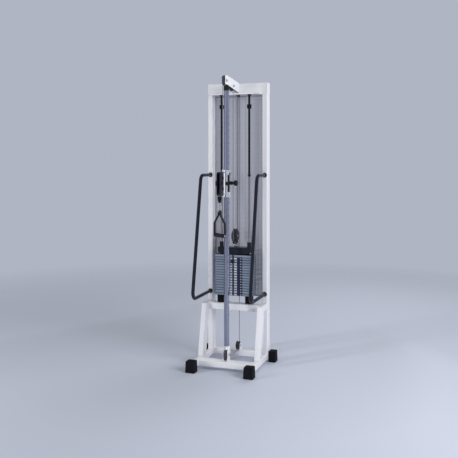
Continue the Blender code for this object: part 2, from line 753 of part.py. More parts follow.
def make_stack():
    """The plates, and the head, selector rod and pin, yoke and pulley that lift the plates above the pin."""
    plates("weight_plates_resting", 0, PLATE_COUNT - PLATES_LIFTED)
    plates("weight_plates_lifted", PLATE_COUNT - PLATES_LIFTED, PLATE_COUNT)
    front, back = ROD_Y - HEAD_DEEP / 2, ROD_Y + HEAD_DEEP / 2
    taper_start = HEAD_HALF - HEAD_TAPER_LONG
    rings = []
    for x, lift in (
        (-HEAD_HALF, HEAD_TAPER_TALL), (-taper_start, 0), (taper_start, 0), (HEAD_HALF, HEAD_TAPER_TALL),
    ):
        low = HEAD_LOW + lift
        rings.append([(x, front, low), (x, back, low), (x, back, HEAD_HIGH), (x, front, HEAD_HIGH)])
    head = piece("head_plate", *rings_mesh(rings), "black_paint", smooth=False)
    centres = [(sign * ROD_X, ROD_Y, 0) for sign in (-1, 1)]
    bore = ROD_RADIUS + RUN
    for centre in centres:
        join(head, rod("head_collar", COLLAR_RADIUS, HEAD_HIGH - 0.004, COLLAR_HIGH, centre, 2, "black_paint"))
    for centre in centres:
        cut(head, rod("head_bore", bore, HEAD_LOW - 0.01, COLLAR_HIGH + 0.01, centre, 2, "black_paint"))
    spine = (0, ROD_Y, 0)
    selector = rod(
        "selector_rod", SELECTOR_RADIUS, STACK_LOW + 0.004, HEAD_LOW - GAP, spine, 2, "chrome", sides=18,
    )
    for i in range(PLATE_COUNT):
        z = STACK_LOW + (i + 0.5) * PLATE_PITCH
        hole = rod("selector_hole", PIN_HOLE, ROD_Y - 0.03, ROD_Y + 0.03, (0, 0, z), 1, "chrome", sides=8)
        cut(selector, hole)
    knob_back = PLATE_FRONT - GAP
    pin = rod(
        "selector_pin", PIN_KNOB_RADIUS, knob_back - PIN_KNOB_LONG, knob_back, (0, 0, PIN_Z), 1, "black_plastic",
        at=(0, knob_back, PIN_Z), sides=20, edge=0.003,
    )
    join(pin, rod(
        "pin_shank", PIN_RADIUS, knob_back - 0.004, knob_back + PIN_LONG, (0, 0, PIN_Z), 1, "chrome", sides=10,
    ))
    inner = LARGE_WIDE / 2 + CHEEK_CLEAR
    base_high = FLOAT_Z - PULLEY_FLOAT - 0.003
    yoke = cheeks(
        "pulley_yoke", ROD_Y, FLOAT_Z, base_high - YOKE_SHEET, FLOAT_Z + YOKE_PAST, inner, YOKE_SHEET,
        ROD_Y - YOKE_WIDE / 2, ROD_Y + YOKE_WIDE / 2, "black_paint",
    )
    for side, sign in (("left", -1), ("right", 1)):
        low, high = sorted((sign * inner, sign * (inner + YOKE_SHEET)))
        disc = rod(f"yoke_disc_{side}", YOKE_DISC, low, high, (0, FLOAT_Y, FLOAT_Z), 0, "black_paint", sides=24)
        join(yoke, disc)
    join(
        yoke,
        box(
            "pulley_yoke_base", (-inner - 0.002, ROD_Y - YOKE_WIDE / 2, base_high - YOKE_SHEET),
            (inner + 0.002, ROD_Y + YOKE_WIDE / 2, base_high), "black_paint",
        ),
        rod("pulley_yoke_stud", YOKE_STUD, HEAD_HIGH + GAP, base_high - 0.001, spine, 2, "chrome", sides=12),
    )
    pulley("pulley_float", PULLEY_FLOAT, (0, FLOAT_Y, FLOAT_Z), LARGE_WIDE)


def make_carriage():
    """The sleeve with its two lugs, and the spring-loaded pull pin on its right side."""
    bore = MAST_RADIUS + RUN
    collar = SLEEVE_RADIUS + COLLAR_WALL
    origin = (0, MAST_Y, CARRIAGE_Z)
    low, high = SLEEVE_LOW - CARRIAGE_Z, SLEEVE_HIGH - CARRIAGE_Z
    step_low, step_high = low + SLEEVE_COLLAR, high - SLEEVE_COLLAR
    profile = [
        (bore, low), (collar, low), (collar, step_low), (SLEEVE_RADIUS, step_low + 0.002),
        (SLEEVE_RADIUS, step_high - 0.002), (collar, step_high), (collar, high), (bore, high),
    ]
    sleeve = turned("carriage_sleeve", profile, origin, 2, "chrome", sides=28)
    lug_front = DROP_Y - LUG_REACH
    lug_back = MAST_Y - SLEEVE_RADIUS + 0.006
    boss_out = SLEEVE_RADIUS + PULL_BOSS
    boss = PULL_SHANK + PULL_BOSS_WALL
    pivot = PIVOT_RADIUS + RUN
    hinge = (0, DROP_Y, 0)
    join(
        sleeve,
        box(
            "lug_top", (-LUG_HALF, lug_front, TOP_LUG_Z), (LUG_HALF, lug_back, TOP_LUG_Z + LUG_THICK), "chrome",
        ),
        box(
            "lug_low", (-LUG_HALF, lug_front, LOW_LUG_Z - LUG_THICK), (LUG_HALF, lug_back, LOW_LUG_Z), "chrome",
        ),
        rod("pull_boss", boss, SLEEVE_RADIUS - 0.004, boss_out, origin, 0, "chrome"),
    )
    cut(
        sleeve,
        rod("pull_hole", PULL_SHANK + RUN, bore - 0.003, boss_out + 0.005, origin, 0, "chrome"),
        rod("pivot_hole_top", pivot, TOP_LUG_Z - 0.01, SLEEVE_HIGH + 0.01, hinge, 2, "chrome"),
        rod("pivot_hole_low", pivot, SLEEVE_LOW - 0.01, LOW_LUG_Z + 0.01, hinge, 2, "chrome"),
    )
    knob = rod(
        "pull_pin", PULL_KNOB_RADIUS, PULL_REACH - PULL_KNOB_LONG, PULL_REACH, origin, 0,
        "black_plastic", at=(PULL_REACH, MAST_Y, CARRIAGE_Z), sides=24, edge=0.004,
    )
    shank_out = PULL_REACH - PULL_KNOB_LONG + 0.004
    join(knob, rod("pull_shank", PULL_SHANK, MAST_RADIUS + RUN, shank_out, origin, 0, "chrome"))


def make_block():
    """The swivel block: two cheeks round two pulleys, bridged behind, on hollow pivots in the sleeve's lugs."""
    inner = BLOCK_GAP / 2
    outer = inner + BLOCK_PLATE
    bevel = BLOCK_CORNER
    outline = [
        (BLOCK_FRONT, BLOCK_LOW + bevel), (BLOCK_FRONT + bevel, BLOCK_LOW), (BLOCK_BACK, BLOCK_LOW),
        (BLOCK_BACK, BLOCK_HIGH), (BLOCK_FRONT + bevel, BLOCK_HIGH), (BLOCK_FRONT, BLOCK_HIGH - bevel),
    ]
    origin = (0, DROP_Y, CARRIAGE_Z)
    block = prism("block_frame", outline, -outer, -inner, "black_paint", at=origin)
    join(block, prism("block_cheek", outline, inner, outer, "black_paint"))
    centre = (0, DROP_Y, 0)
    bridge_front, bridge_back = BLOCK_BACK - 0.003, DROP_Y + PIVOT_RADIUS + 0.004
    for z0, z1, tip0, tip1 in (
        (TOP_LUG_Z - GAP - BRIDGE, TOP_LUG_Z - GAP, TOP_LUG_Z - GAP - 0.001, TOP_LUG_Z + LUG_THICK - 0.001),
        (LOW_LUG_Z + GAP, LOW_LUG_Z + GAP + BRIDGE, LOW_LUG_Z - LUG_THICK + 0.001, LOW_LUG_Z + GAP + 0.001),
    ):
        join(
            block,
            box("block_bridge", (-outer, bridge_front, z0), (outer, bridge_back, z1), "black_paint"),
            rod("block_pivot", PIVOT_RADIUS, tip0, tip1, centre, 2, "chrome"),
        )
    for sign in (-1, 1):
        axle = (0, BLOCK_PULLEY_Y, CARRIAGE_Z + sign * BLOCK_PULLEY_STEP)
        join(block, rod("block_axle", PULLEY_BORE - GAP, -outer + 0.001, outer - 0.001, axle, 0, "chrome"))
    join(block, rod(
        "block_knob", BLOCK_KNOB_RADIUS, -outer - BLOCK_KNOB_LONG, -outer + 0.001,
        (0, (BLOCK_FRONT + BLOCK_BACK) / 2, CARRIAGE_Z), 0, "black_plastic", sides=20, edge=0.004,
    ))
    cut(block, rod(
        "block_cable_hole", CABLE_HOLE, TOP_LUG_Z - 0.02, SLEEVE_HIGH + 0.02, centre, 2, "black_paint",
    ))
    pulley("block_pulley_upper", PULLEY_BLOCK, (0, BLOCK_PULLEY_Y, CARRIAGE_Z + BLOCK_PULLEY_STEP))
    pulley("block_pulley_lower", PULLEY_BLOCK, (0, BLOCK_PULLEY_Y, CARRIAGE_Z - BLOCK_PULLEY_STEP))


def turned_point(u, n, z):
    """A point of the handle: u along the grip, n square to the handle's plane."""
    c, s = math.cos(HANDLE_TURN), math.sin(HANDLE_TURN)
    return (u * c - n * s, HANDLE_Y + u * s + n * c, z)


def make_handle():
    """The stopper on the cable's end, the spring hook, the strap with its axle, and the grip tube."""
    profile = [
        (STOPPER_RADIUS - 0.003, STOPPER_HIGH), (STOPPER_RADIUS, STOPPER_HIGH - 0.004),
        (STOPPER_RADIUS * 0.8, STOPPER_HIGH - 0.020), (STOPPER_RADIUS * 0.4, STOPPER_LOW),
    ]
    turned(
        "cable_stopper", profile, (0, HANDLE_Y, 0), 2, "black_rubber", at=(0, HANDLE_Y, STOPPER_HIGH),
        looped=False,
    )
    strap_low = GRIP_Z - STRAP_PAST
    run = [
        (-STRAP_HALF, strap_low), (-STRAP_HALF, STRAP_WAIST), (-STRAP_NECK_HALF, STRAP_NECK),
        (-STRAP_TOP_HALF, STRAP_TOP), (STRAP_TOP_HALF, STRAP_TOP),
        (STRAP_NECK_HALF, STRAP_NECK), (STRAP_HALF, STRAP_WAIST), (STRAP_HALF, strap_low),
    ]
    points = np.array(tube_run(run, STRAP_BEND, math.radians(20)))
    along = np.gradient(points, axis=0)
    along /= np.linalg.norm(along, axis=1)[:, None]
    hook_high = STOPPER_LOW - GAP
    hook_low = points[:, 1].max() - STRAP_THICK - 2 * GAP - 2 * HOOK_WIRE
    middle = (hook_high + hook_low) / 2
    half_high = (hook_high - hook_low) / 2 - HOOK_WIRE
    rings = []
    outline = round_rect(HOOK_HALF, half_high, HOOK_ROUND, steps=3)
    corners = round_rect(1, 1, 1, steps=3)
    for (n, z), out in zip(outline, corners):
        rings.append([
            turned_point(
                HOOK_WIRE * math.sin(a), n + out[0] * HOOK_WIRE * math.cos(a),
                middle + z + out[1] * HOOK_WIRE * math.cos(a),
            )
            for a in (2 * math.pi * k / 8 for k in range(8))
        ])
    piece("spring_hook", *rings_mesh(rings, looped=True), "chrome", (0, HANDLE_Y, middle))
    rings = []
    for (u, z), (du, dz) in zip(points, along):
        inside = (u + dz * STRAP_THICK, z - du * STRAP_THICK)
        half = STRAP_WIDE / 2 * (STRAP_NARROW + (1 - STRAP_NARROW) * min(1, abs(u) / STRAP_WIDE))
        rings.append([
            turned_point(u, -half, z), turned_point(u, half, z),
            turned_point(inside[0], half, inside[1]), turned_point(inside[0], -half, inside[1]),
        ])
    strap = piece("handle_strap", *rings_mesh(rings), "webbing", (0, HANDLE_Y, STRAP_TOP), smooth=False)
    join(strap, handle_round("handle_axle", AXLE_RADIUS, STRAP_HALF - 0.002, "chrome"))
    handle_round("handle_grip", GRIP_RADIUS, GRIP_LONG / 2, "black_rubber", bore=GRIP_BORE)


def handle_round(name, radius, half, look, bore=None, sides=16):
    """A round piece along the grip's line, solid or with a bore."""
    profile = [(radius, -half), (radius, half)]
    if bore:
        profile += [(bore, half), (bore, -half)]
    turns = [2 * math.pi * k / sides for k in range(sides)]
    rings = [[turned_point(u, r * math.cos(a), GRIP_Z + r * math.sin(a)) for a in turns] for r, u in profile]
    return piece(name, *rings_mesh(rings, looped=bool(bore)), look, (0, HANDLE_Y, GRIP_Z))


def make_cables():
    """One cable: from the handle over the top, round the floating pulley, down the back, up to the carriage."""
    past = CABLE_PAST
    top_z, rear_z = TOP_FRONT_Z - past, TOP_REAR_Z - past
    float_z = FLOAT_Z + past
    crown_z = CROWN_Z - past
    base_z = BASE_FRONT_Z + past
    entry_z = SLEEVE_HIGH + 0.010
    exit_z = CARRIAGE_Z - BLOCK_PULLEY_STEP - past
    lug_low = LOW_LUG_Z - LUG_THICK
    upper, lower = CARRIAGE_Z + BLOCK_PULLEY_STEP, CARRIAGE_Z - BLOCK_PULLEY_STEP
    runs = {
        "cable_top": [
            (FALL_Y, rear_z, 0, 0), (TOP_REAR_Y, TOP_REAR_Z, PITCH_TOP, 1),
            (TOP_FRONT_Y, TOP_FRONT_Z, PITCH_TOP, 1), (DROP_Y, top_z, 0, 0),
        ],
        "cable_float": [(RISE_Y, float_z, 0, 0), (FLOAT_Y, FLOAT_Z, PITCH_FLOAT, -1), (FALL_Y, float_z, 0, 0)],
        "cable_back": [
            (LIFT_LINE_Y, base_z, 0, 0), (BASE_FRONT_Y, BASE_FRONT_Z, PITCH_TOP, 1),
            (BASE_REAR_Y, BASE_REAR_Z, PITCH_BACK, 1), (CROWN_Y, CROWN_Z, PITCH_CROWN, 1),
            (RISE_Y, crown_z, 0, 0),
        ],
        "cable_block": [
            (DROP_Y, entry_z, 0, 0), (BLOCK_PULLEY_Y, upper, PITCH_BLOCK, -1),
            (BLOCK_PULLEY_Y, lower, PITCH_BLOCK, 1), (HANDLE_Y, exit_z, 0, 0),
        ],
    }
    for name, stops in runs.items():
        swept(name, belt(stops), CABLE_RADIUS, "cable_coat")
    straights = {
        "cable_drop": (DROP_Y, entry_z, top_z),
        "cable_fall": (FALL_Y, float_z, rear_z),
        "cable_rise": (RISE_Y, float_z, crown_z),
        "cable_lift": (LIFT_LINE_Y, base_z, lug_low),
        "cable_hand": (HANDLE_Y, STOPPER_HIGH, exit_z),
    }
    for name, (y, low, high) in straights.items():
        rod(name, CABLE_RADIUS, low + GAP, high - GAP, (0, y, 0), 2, "cable_coat", sides=8)


def make_grab_bars():
    """Bent tubes with round flanges on the fronts of the uprights."""
    back = COLUMN_FRONT - GAP
    rear = back - 0.002
    corners = [(rear, BAR_TOP_Z), (BAR_TOP_Y, BAR_TOP_Z), (BAR_LOW_Y, BAR_LOW_Z), (rear, BAR_LOW_Z)]
    run = tube_run(corners, BAR_BEND)
    for side, sign in (("left", -1), ("right", 1)):
        x = sign * BAR_X
        bar = swept(f"grab_bar_{side}", [(x, y, z) for y, z in run], BAR_RADIUS, "black_paint", sides=12)
        for z in (BAR_TOP_Z, BAR_LOW_Z):
            join(bar, rod("bar_flange", FLANGE_RADIUS, back - FLANGE_THICK, back, (x, 0, z), 1, "black_paint"))


def main():
    """Builds every piece in an empty scene."""
    for old in list(bpy.data.objects):
        bpy.data.objects.remove(old, do_unlink=True)
    make_base()
    make_legs()
    make_column()
    make_bracket()
    make_frame_pulleys()
    make_pulley_brackets()
    make_mast()
    make_guides()
    make_stack()
    make_carriage()
    make_block()
    make_handle()
    make_cables()
    make_grab_bars()


main()
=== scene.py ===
"""Looks of the rehab cable machine: smooth pieces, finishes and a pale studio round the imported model.

Metres, +Z up, floor at Z = 0. The user stands at -Y, and X = 0 is the plane of the cable.
"""
import json
import math

import bmesh
import bpy
import numpy as np
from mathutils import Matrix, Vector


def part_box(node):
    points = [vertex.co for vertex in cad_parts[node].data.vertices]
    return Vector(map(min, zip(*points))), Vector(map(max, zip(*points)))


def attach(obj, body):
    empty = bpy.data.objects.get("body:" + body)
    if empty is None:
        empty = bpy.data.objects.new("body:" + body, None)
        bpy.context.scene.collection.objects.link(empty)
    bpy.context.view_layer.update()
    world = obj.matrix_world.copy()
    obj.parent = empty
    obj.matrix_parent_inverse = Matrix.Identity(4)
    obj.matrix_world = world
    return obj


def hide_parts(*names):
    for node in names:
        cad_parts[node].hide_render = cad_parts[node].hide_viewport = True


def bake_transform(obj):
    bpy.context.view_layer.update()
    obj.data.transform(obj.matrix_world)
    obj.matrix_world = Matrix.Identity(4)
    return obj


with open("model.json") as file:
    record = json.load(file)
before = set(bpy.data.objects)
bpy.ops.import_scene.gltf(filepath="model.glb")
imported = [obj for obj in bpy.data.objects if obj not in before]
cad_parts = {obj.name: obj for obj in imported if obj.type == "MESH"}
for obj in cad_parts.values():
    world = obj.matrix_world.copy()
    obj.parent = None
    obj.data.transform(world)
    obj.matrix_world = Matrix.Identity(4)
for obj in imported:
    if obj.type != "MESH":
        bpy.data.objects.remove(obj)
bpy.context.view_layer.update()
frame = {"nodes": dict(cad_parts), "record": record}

bl_info = {
    "name": "Rehab cable machine",
    "version": (1, 0, 0),
    "blender": (4, 5, 0),
    "location": "View3D > Sidebar > Machine",
    "description": "Builds the smooth pieces, finishes and studio of a rehab cable machine",
    "category": "Object",
}

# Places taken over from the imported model
MAST_LOW, MAST_HIGH = (np.array(corner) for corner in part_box("mast"))
MAST_Y = (MAST_LOW[1] + MAST_HIGH[1]) / 2
MAST_RADIUS = (MAST_HIGH[0] - MAST_LOW[0]) / 2
INNER, HALF = 0.2075, 0.2475
COLUMN_FRONT, COLUMN_BACK = 0.180, 0.260
BASE_TOP = 0.070
BEAM_LOW, BEAM_TOP = 2.115, 2.200
CROSS_TOP = 0.466
ROD_X, ROD_Y, ROD_RADIUS = 0.115, 0.1345, 0.009
STACK_LOW, PLATE_PITCH, PLATES = 0.530, 0.020, 16
PLATE_HALF, PLATE_FRONT = 0.150, 0.0795
PIN_Z = 0.800
ROD_JOINT = 1.470
HEAD_TAPER = (0.040, 0.016)
LABELS_AND_PAINTED_SHADOW = (  # place along the plate, half width, half height, how far it stands out, finish
    (-0.0140, 0.0080, 0.0052, 0.0006, "label_film"), (0.0185, 0.0110, 0.0052, 0.0006, "label_film"),
    # The dark film is a painted shadow: the mast's shadow on the plates, laid on as a near-black film.
    (0.0540, 0.0215, 0.0088, 0.0003, "label_dark"), (0.0630, 0.0042, 0.0028, 0.0006, "label_film"),
)
DROP_Y, HANDLE_Y, CARRIAGE_Z = -0.160, -0.231, 1.417
BLOCK_Y = -0.1955
PULLEYS = {
    "pulley_top_front": ("wheel_top_front", 0.040, 0.014, -0.1225, 2.190),
    "pulley_top_rear": ("wheel_top_rear", 0.040, 0.014, 0.0435, 2.165),
    "pulley_crown": ("wheel_crown", 0.0265, 0.014, 0.212, 2.118),
    "pulley_base_rear": ("wheel_base_rear", 0.033, 0.022, 0.2055, 0.112),
    "pulley_base_front": ("wheel_base_front", 0.040, 0.022, -0.075, 0.1125),
    "pulley_float": ("wheel_float", 0.056, 0.022, 0.1345, 0.994),
    "block_pulley_upper": ("wheel_block_upper", 0.038, 0.014, BLOCK_Y, 1.457),
    "block_pulley_lower": ("wheel_block_lower", 0.038, 0.014, BLOCK_Y, 1.377),
}
GRIP_Z = 1.034
GRIP_ALONG = np.array((math.cos(math.radians(-35)), math.sin(math.radians(-35)), 0.0))
GRIP_ACROSS = np.array((-GRIP_ALONG[1], GRIP_ALONG[0], 0.0))
UP = np.array((0.0, 0.0, 1.0))
SIDE = np.array((1.0, 0.0, 0.0))
TUBE_X = (INNER + HALF) / 2
COLUMN_Y = (COLUMN_FRONT + COLUMN_BACK) / 2
LEG_FRONT, LEG_REAR, LEG_TOP_Y = -0.045, 0.035, 0.040
STAY_TALL = 0.050
BAR_ENDS = (1.472, 0.537)
AXLE = 0.0047
GAP = 0.0003  # between two pieces that would touch
CREASE = 32  # degrees; edges sharper than this stay sharp


def hub(node):
    """Y and Z of a wheel's centre."""
    return PULLEYS[node][3:]


class Wire:
    """A socket of a node tree. Python's operators on it add Math nodes."""

    def __init__(self, finish, socket):
        self.finish = finish
        self.socket = socket

    def math(self, operation, *values, clamp=False):
        node = self.finish.tree.nodes.new("ShaderNodeMath")
        node.operation = operation
        node.use_clamp = clamp
        for slot, value in zip(node.inputs, values):
            self.finish.feed(slot, value)
        return Wire(self.finish, node.outputs[0])

    def __add__(self, other):
        return self.math("ADD", self, other)

    def __radd__(self, other):
        return self.math("ADD", other, self)

    def __sub__(self, other):
        return self.math("SUBTRACT", self, other)

    def __rsub__(self, other):
        return self.math("SUBTRACT", other, self)

    def __mul__(self, other):
        return self.math("MULTIPLY", self, other)

    def __rmul__(self, other):
        return self.math("MULTIPLY", other, self)

    def __truediv__(self, other):
        return self.math("DIVIDE", self, other)

    def __pow__(self, other):
        return self.math("POWER", self, other)

    def sine(self):
        return self.math("SINE", self)

    def size(self):
        return self.math("ABSOLUTE", self)

    def whole(self):
        return self.math("FLOOR", self)

    def rest(self):
        return self.math("FRACT", self)

    def ramp(self, low, high):
        """0 below low, 1 above high and straight between."""
        return self.math("MULTIPLY", self - low, 1.0 / (high - low), clamp=True)


class Finish:
    """A material with one Principled BSDF, whose sockets take numbers, colours or wires."""

    def __init__(self, name, **values):
        self.material = bpy.data.materials.new(name)
        self.material.use_nodes = True
        self.tree = self.material.node_tree
        self.shader = self.tree.nodes["Principled BSDF"]
        for socket, value in values.items():
            self.put(socket.replace("_", " "), value)
        place = self.node("ShaderNodeTexCoord").outputs["Object"]
        self.place = place
        parts = self.node("ShaderNodeSeparateXYZ", Vector=place)
        self.x, self.y, self.z = (Wire(self, parts.outputs[i]) for i in range(3))

    def feed(self, slot, value):
        if isinstance(value, Wire):
            value = value.socket
        if isinstance(value, bpy.types.NodeSocket):
            self.tree.links.new(value, slot)
        elif hasattr(slot.default_value, "__len__") and len(slot.default_value) == 4 and len(value) == 3:
            slot.default_value = (*value, 1.0)
        else:
            slot.default_value = value

    def put(self, socket, value):
        self.feed(self.shader.inputs[socket], value)

    def node(self, kind, settings=None, **sockets):
        """Any node: its settings first, then its sockets by name."""
        made = self.tree.nodes.new(kind)
        for key, value in (settings or {}).items():
            setattr(made, key, value)
        for key, value in sockets.items():
            self.feed(made.inputs[key.replace("_", " ")], value)
        return made

    def noise(self, scale, detail=2.0, stretch=(1, 1, 1)):
        """Noise from 0 to 1 in object space. A stretch above 1 makes it finer along that axis."""
        mapped = self.node("ShaderNodeMapping", {"vector_type": "POINT"}, Vector=self.place, Scale=stretch)
        made = self.node("ShaderNodeTexNoise", None, Vector=mapped.outputs[0], Scale=scale, Detail=detail)
        return Wire(self, made.outputs["Fac"])

    def cells(self, scale):
        """Distance to the nearest of many scattered points."""
        made = self.node("ShaderNodeTexVoronoi", None, Vector=self.place, Scale=scale)
        return Wire(self, made.outputs["Distance"])

    def mix(self, factor, first, second):
        """The first colour where the factor is 0 and the second where it is 1."""
        made = self.node("ShaderNodeMix", {"data_type": "RGBA"})
        self.feed(made.inputs[0], factor)
        self.feed(made.inputs[6], first)
        self.feed(made.inputs[7], second)
        return Wire(self, made.outputs[2])

    def bump(self, height, strength, depth):
        made = self.node("ShaderNodeBump", None, Height=height, Strength=strength, Distance=depth)
        self.put("Normal", made.outputs[0])

    def along(self, name="run"):
        """The piece's own map: metres along it and across it."""
        parts = self.node(
            "ShaderNodeSeparateXYZ", None,
            Vector=self.node("ShaderNodeUVMap", {"uv_map": name}).outputs[0],
        )
        return Wire(self, parts.outputs[0]), Wire(self, parts.outputs[1])


def shade(colour, factor):
    """A colour made lighter or darker."""
    return tuple(min(1.0, channel * factor) for channel in colour)


FINISHES = {}


def finish_paint(colour):
    """Powder coat: orange peel, faint clouds, and a little dust low down."""
    made = Finish("white_paint", Coat_Roughness=0.12)
    cloud = made.noise(5.0, 3.0)
    dust = (1 - made.z.ramp(0.03, 0.22)) * made.noise(30.0, 3.0)
    base = made.mix(cloud, shade(colour, 0.955), shade(colour, 1.0))
    made.put("Base Color", made.mix(dust * 0.35, base, (0.60, 0.58, 0.55)))
    made.put("Roughness", 0.30 + 0.10 * made.noise(60.0))
    made.put("Coat Weight", 0.25 + 0.1 * cloud)
    made.bump(made.noise(420.0, 1.0), 0.25, 0.0004)
    return made.material


def finish_panel(colour):
    """Perforated sheet: a fine horizontal grain from rolling under a satin coat."""
    made = Finish("grey_panel", Metallic=0.25)
    grain = made.noise(14.0, 4.0, (1.0, 1.0, 40.0))
    made.put("Base Color", made.mix(grain, shade(colour, 0.86), shade(colour, 1.1)))
    made.put("Roughness", 0.38 + 0.2 * grain)
    made.bump(grain, 0.15, 0.0003)
    return made.material


def finish_chrome(name, colour, rough, lengthways=True, upper=None):
    """Plated steel: hairlines along or round the piece, faint wiping marks, and maybe a darker upper part."""
    made = Finish(name, Metallic=1.0)
    stretch = (90.0, 90.0, 1.5) if lengthways else (1.5, 1.5, 90.0)
    hair = made.noise(9.0, 3.0, stretch)
    smear = made.noise(7.0, 3.0)
    base = made.mix(smear, shade(colour, 0.92), shade(colour, 1.04))
    if upper:
        base = made.mix(made.z.ramp(ROD_JOINT, ROD_JOINT + 0.001), base, upper)
    made.put("Base Color", base)
    made.put("Roughness", rough + 0.06 * hair + 0.07 * smear.ramp(0.5, 0.8))
    made.bump(hair, 0.08, 0.0001)
    return made.material


def finish_gloss(colour):
    """Black stoved paint on the grab bars and brackets."""
    made = Finish("black_paint", Coat_Roughness=0.08, Specular_IOR_Level=0.25)
    wear = made.noise(38.0, 4.0)
    made.put("Base Color", made.mix(wear.ramp(0.62, 0.75), colour, shade(colour, 1.9)))
    made.put("Roughness", 0.24 + 0.16 * wear)
    made.put("Coat Weight", 0.16 + 0.12 * made.noise(6.0))
    made.bump(made.noise(520.0, 1.0), 0.18, 0.0003)
    return made.material


def finish_plastic(name, colour, rough, grain=900.0):
    """Moulded plastic with a fine spark-eroded grain."""
    made = Finish(name, Specular_IOR_Level=0.25)
    fine = made.noise(grain, 2.0)
    made.put("Base Color", made.mix(made.noise(12.0), shade(colour, 0.85), shade(colour, 1.2)))
    made.put("Roughness", rough + 0.14 * fine)
    made.bump(fine, 0.3, 0.0003)
    return made.material


def finish_rubber(colour):
    """Moulded rubber: matt, a little bloomed, greyer where it is handled or dusty."""
    made = Finish("black_rubber", Specular_IOR_Level=0.15)
    bloom = made.noise(24.0, 5.0)
    made.put("Base Color", made.mix(bloom.ramp(0.45, 0.8), colour, shade(colour, 1.9)))
    made.put("Roughness", 0.62 + 0.22 * bloom)
    made.bump(made.noise(650.0, 2.0) + made.cells(320.0) * 0.5, 0.35, 0.0005)
    return made.material


def finish_weight(colour):
    """Painted steel plates: rolled grain lengthways, with rubbed bare places on some of them, painted shade
    along the gaps between plates and a painted highlight on the top plate.
    """
    made = Finish("weight_steel")
    grain = made.noise(16.0, 4.0, (1.0, 6.0, 14.0))
    level = (made.z - STACK_LOW) / PLATE_PITCH
    # The last digits of a large sine: a tone of its own for each plate
    tone = ((level.whole() * 12.9898).sine() * 43758.5453).rest()
    base = made.mix(tone, shade(colour, 0.88), shade(colour, 1.12))
    # The top plate is painted lighter: a painted highlight where the light catches the top of the stack.
    base = made.mix(level.ramp(15.0, 15.01), base, shade(colour, 1.15))
    rub = made.noise(45.0, 5.0).ramp(0.62, 0.72)
    base = made.mix(rub * 0.45, base, (0.42, 0.46, 0.52))
    # Painted shade: each plate darkens to near black along its rims, where shade falls in the gap between two
    # plates.
    gap_shade = (level.rest() - 0.5).size().ramp(0.33, 0.46)
    made.put("Base Color", made.mix(gap_shade * 0.92, base, (0.012, 0.014, 0.020)))
    made.put("Metallic", 0.45 + 0.4 * rub)
    made.put("Roughness", 0.30 + 0.2 * grain)
    made.bump(grain, 0.25, 0.0004)
    return made.material


def finish_cable(colour):
    """Twisted strands seen through a clear plastic coat."""
    made = Finish("cable_coat", Coat_Weight=0.8, Coat_Roughness=0.06)
    along, across = made.along()
    strand = (along * 1150.0 + across * 12.566).sine() * 0.5 + 0.5
    made.put("Base Color", made.mix(strand, shade(colour, 0.55), shade(colour, 1.35)))
    made.put("Metallic", 0.25 + 0.35 * strand)
    made.put("Roughness", 0.25 + 0.15 * (1 - strand))
    made.bump(strand, 0.4, 0.0002)
    return made.material


def finish_webbing(colour):
    """Woven band: ribs across, a herringbone up the middle and paler edges."""
    made = Finish("webbing", Sheen_Weight=0.35, Sheen_Roughness=0.4)
    along, across = made.along()
    rib = (along * 2400.0).sine() * 0.5 + 0.5
    cord = ((across.size() * 3600.0) + (along * 1200.0)).sine() * 0.5 + 0.5
    weave = rib * 0.5 + cord * 0.5
    edge = across.size().ramp(0.0078, 0.0098)
    made.put("Base Color", made.mix(weave * 0.7 + edge * 0.3, shade(colour, 0.7), shade(colour, 2.4)))
    made.put("Roughness", 0.72 + 0.2 * weave)
    made.bump(weave + edge * 0.4, 0.8, 0.0006)
    return made.material


def finish_foam(colour):
    """Foam sleeve of the grip: a skin with many fine pores."""
    made = Finish("grip_foam")
    pores = made.cells(620.0)
    worn = made.noise(40.0, 4.0)
    made.put("Base Color", made.mix(worn, shade(colour, 0.8), shade(colour, 2.2)))
    made.put("Roughness", 0.68 + 0.2 * worn)
    made.bump(pores.ramp(0.05, 0.5), 0.5, 0.0006)
    return made.material


def finish_label(colour, name="label_film"):
    """Plain film on the plates, satin and a little soiled."""
    made = Finish(name, Coat_Roughness=0.2)
    soil = made.noise(90.0, 4.0)
    made.put("Base Color", made.mix(soil.ramp(0.4, 0.9), colour, shade(colour, 0.8)))
    made.put("Roughness", 0.3 + 0.2 * soil)
    made.bump(soil, 0.1, 0.0001)
    return made.material


def finish_zinc():
    """Bright zinc on bolts, washers and bearings, with its patchy crystals."""
    made = Finish("zinc", Metallic=1.0)
    grain = made.cells(420.0)
    made.put("Base Color", made.mix(grain, (0.50, 0.51, 0.54), (0.72, 0.73, 0.76)))
    made.put("Roughness", 0.25 + 0.2 * grain)
    made.bump(made.noise(700.0), 0.15, 0.0002)
    return made.material


def grid(points, loop_u=False, loop_v=True, caps=True):
    """Quads over a grid of points, rows by columns. Open ends of a closed tube of rows get a cap."""
    rows, columns = points.shape[:2]
    index = np.arange(rows * columns).reshape(rows, columns)
    ends = [index[0, ::-1].tolist(), index[-1].tolist()]
    if loop_u:
        index = np.vstack([index, index[:1]])
    if loop_v:
        index = np.hstack([index, index[:, :1]])
    quads = np.stack([index[:-1, :-1], index[:-1, 1:], index[1:, 1:], index[1:, :-1]], -1)
    faces = quads.reshape(-1, 4).tolist()
    if caps and loop_v and not loop_u:
        faces += ends
    return points.reshape(-1, 3), faces


def face_outwards(mesh, weld=0.0):
    """Turns a mesh's faces outwards, after joining points that lie closer than the weld distance."""
    edit = bmesh.new()
    edit.from_mesh(mesh)
    if weld:
        bmesh.ops.remove_doubles(edit, verts=edit.verts, dist=weld)
    bmesh.ops.recalc_face_normals(edit, faces=edit.faces)
    edit.to_mesh(mesh)
    edit.free()


def joined(shells):
    """The points and the faces of several shells, each in one list."""
    points, faces = [], []
    start = 0
    for shell in shells:
        points.append(shell[0])
        faces += [[corner + start for corner in face] for face in shell[1]]
        start += len(shell[0])
    return np.concatenate(points).tolist(), faces


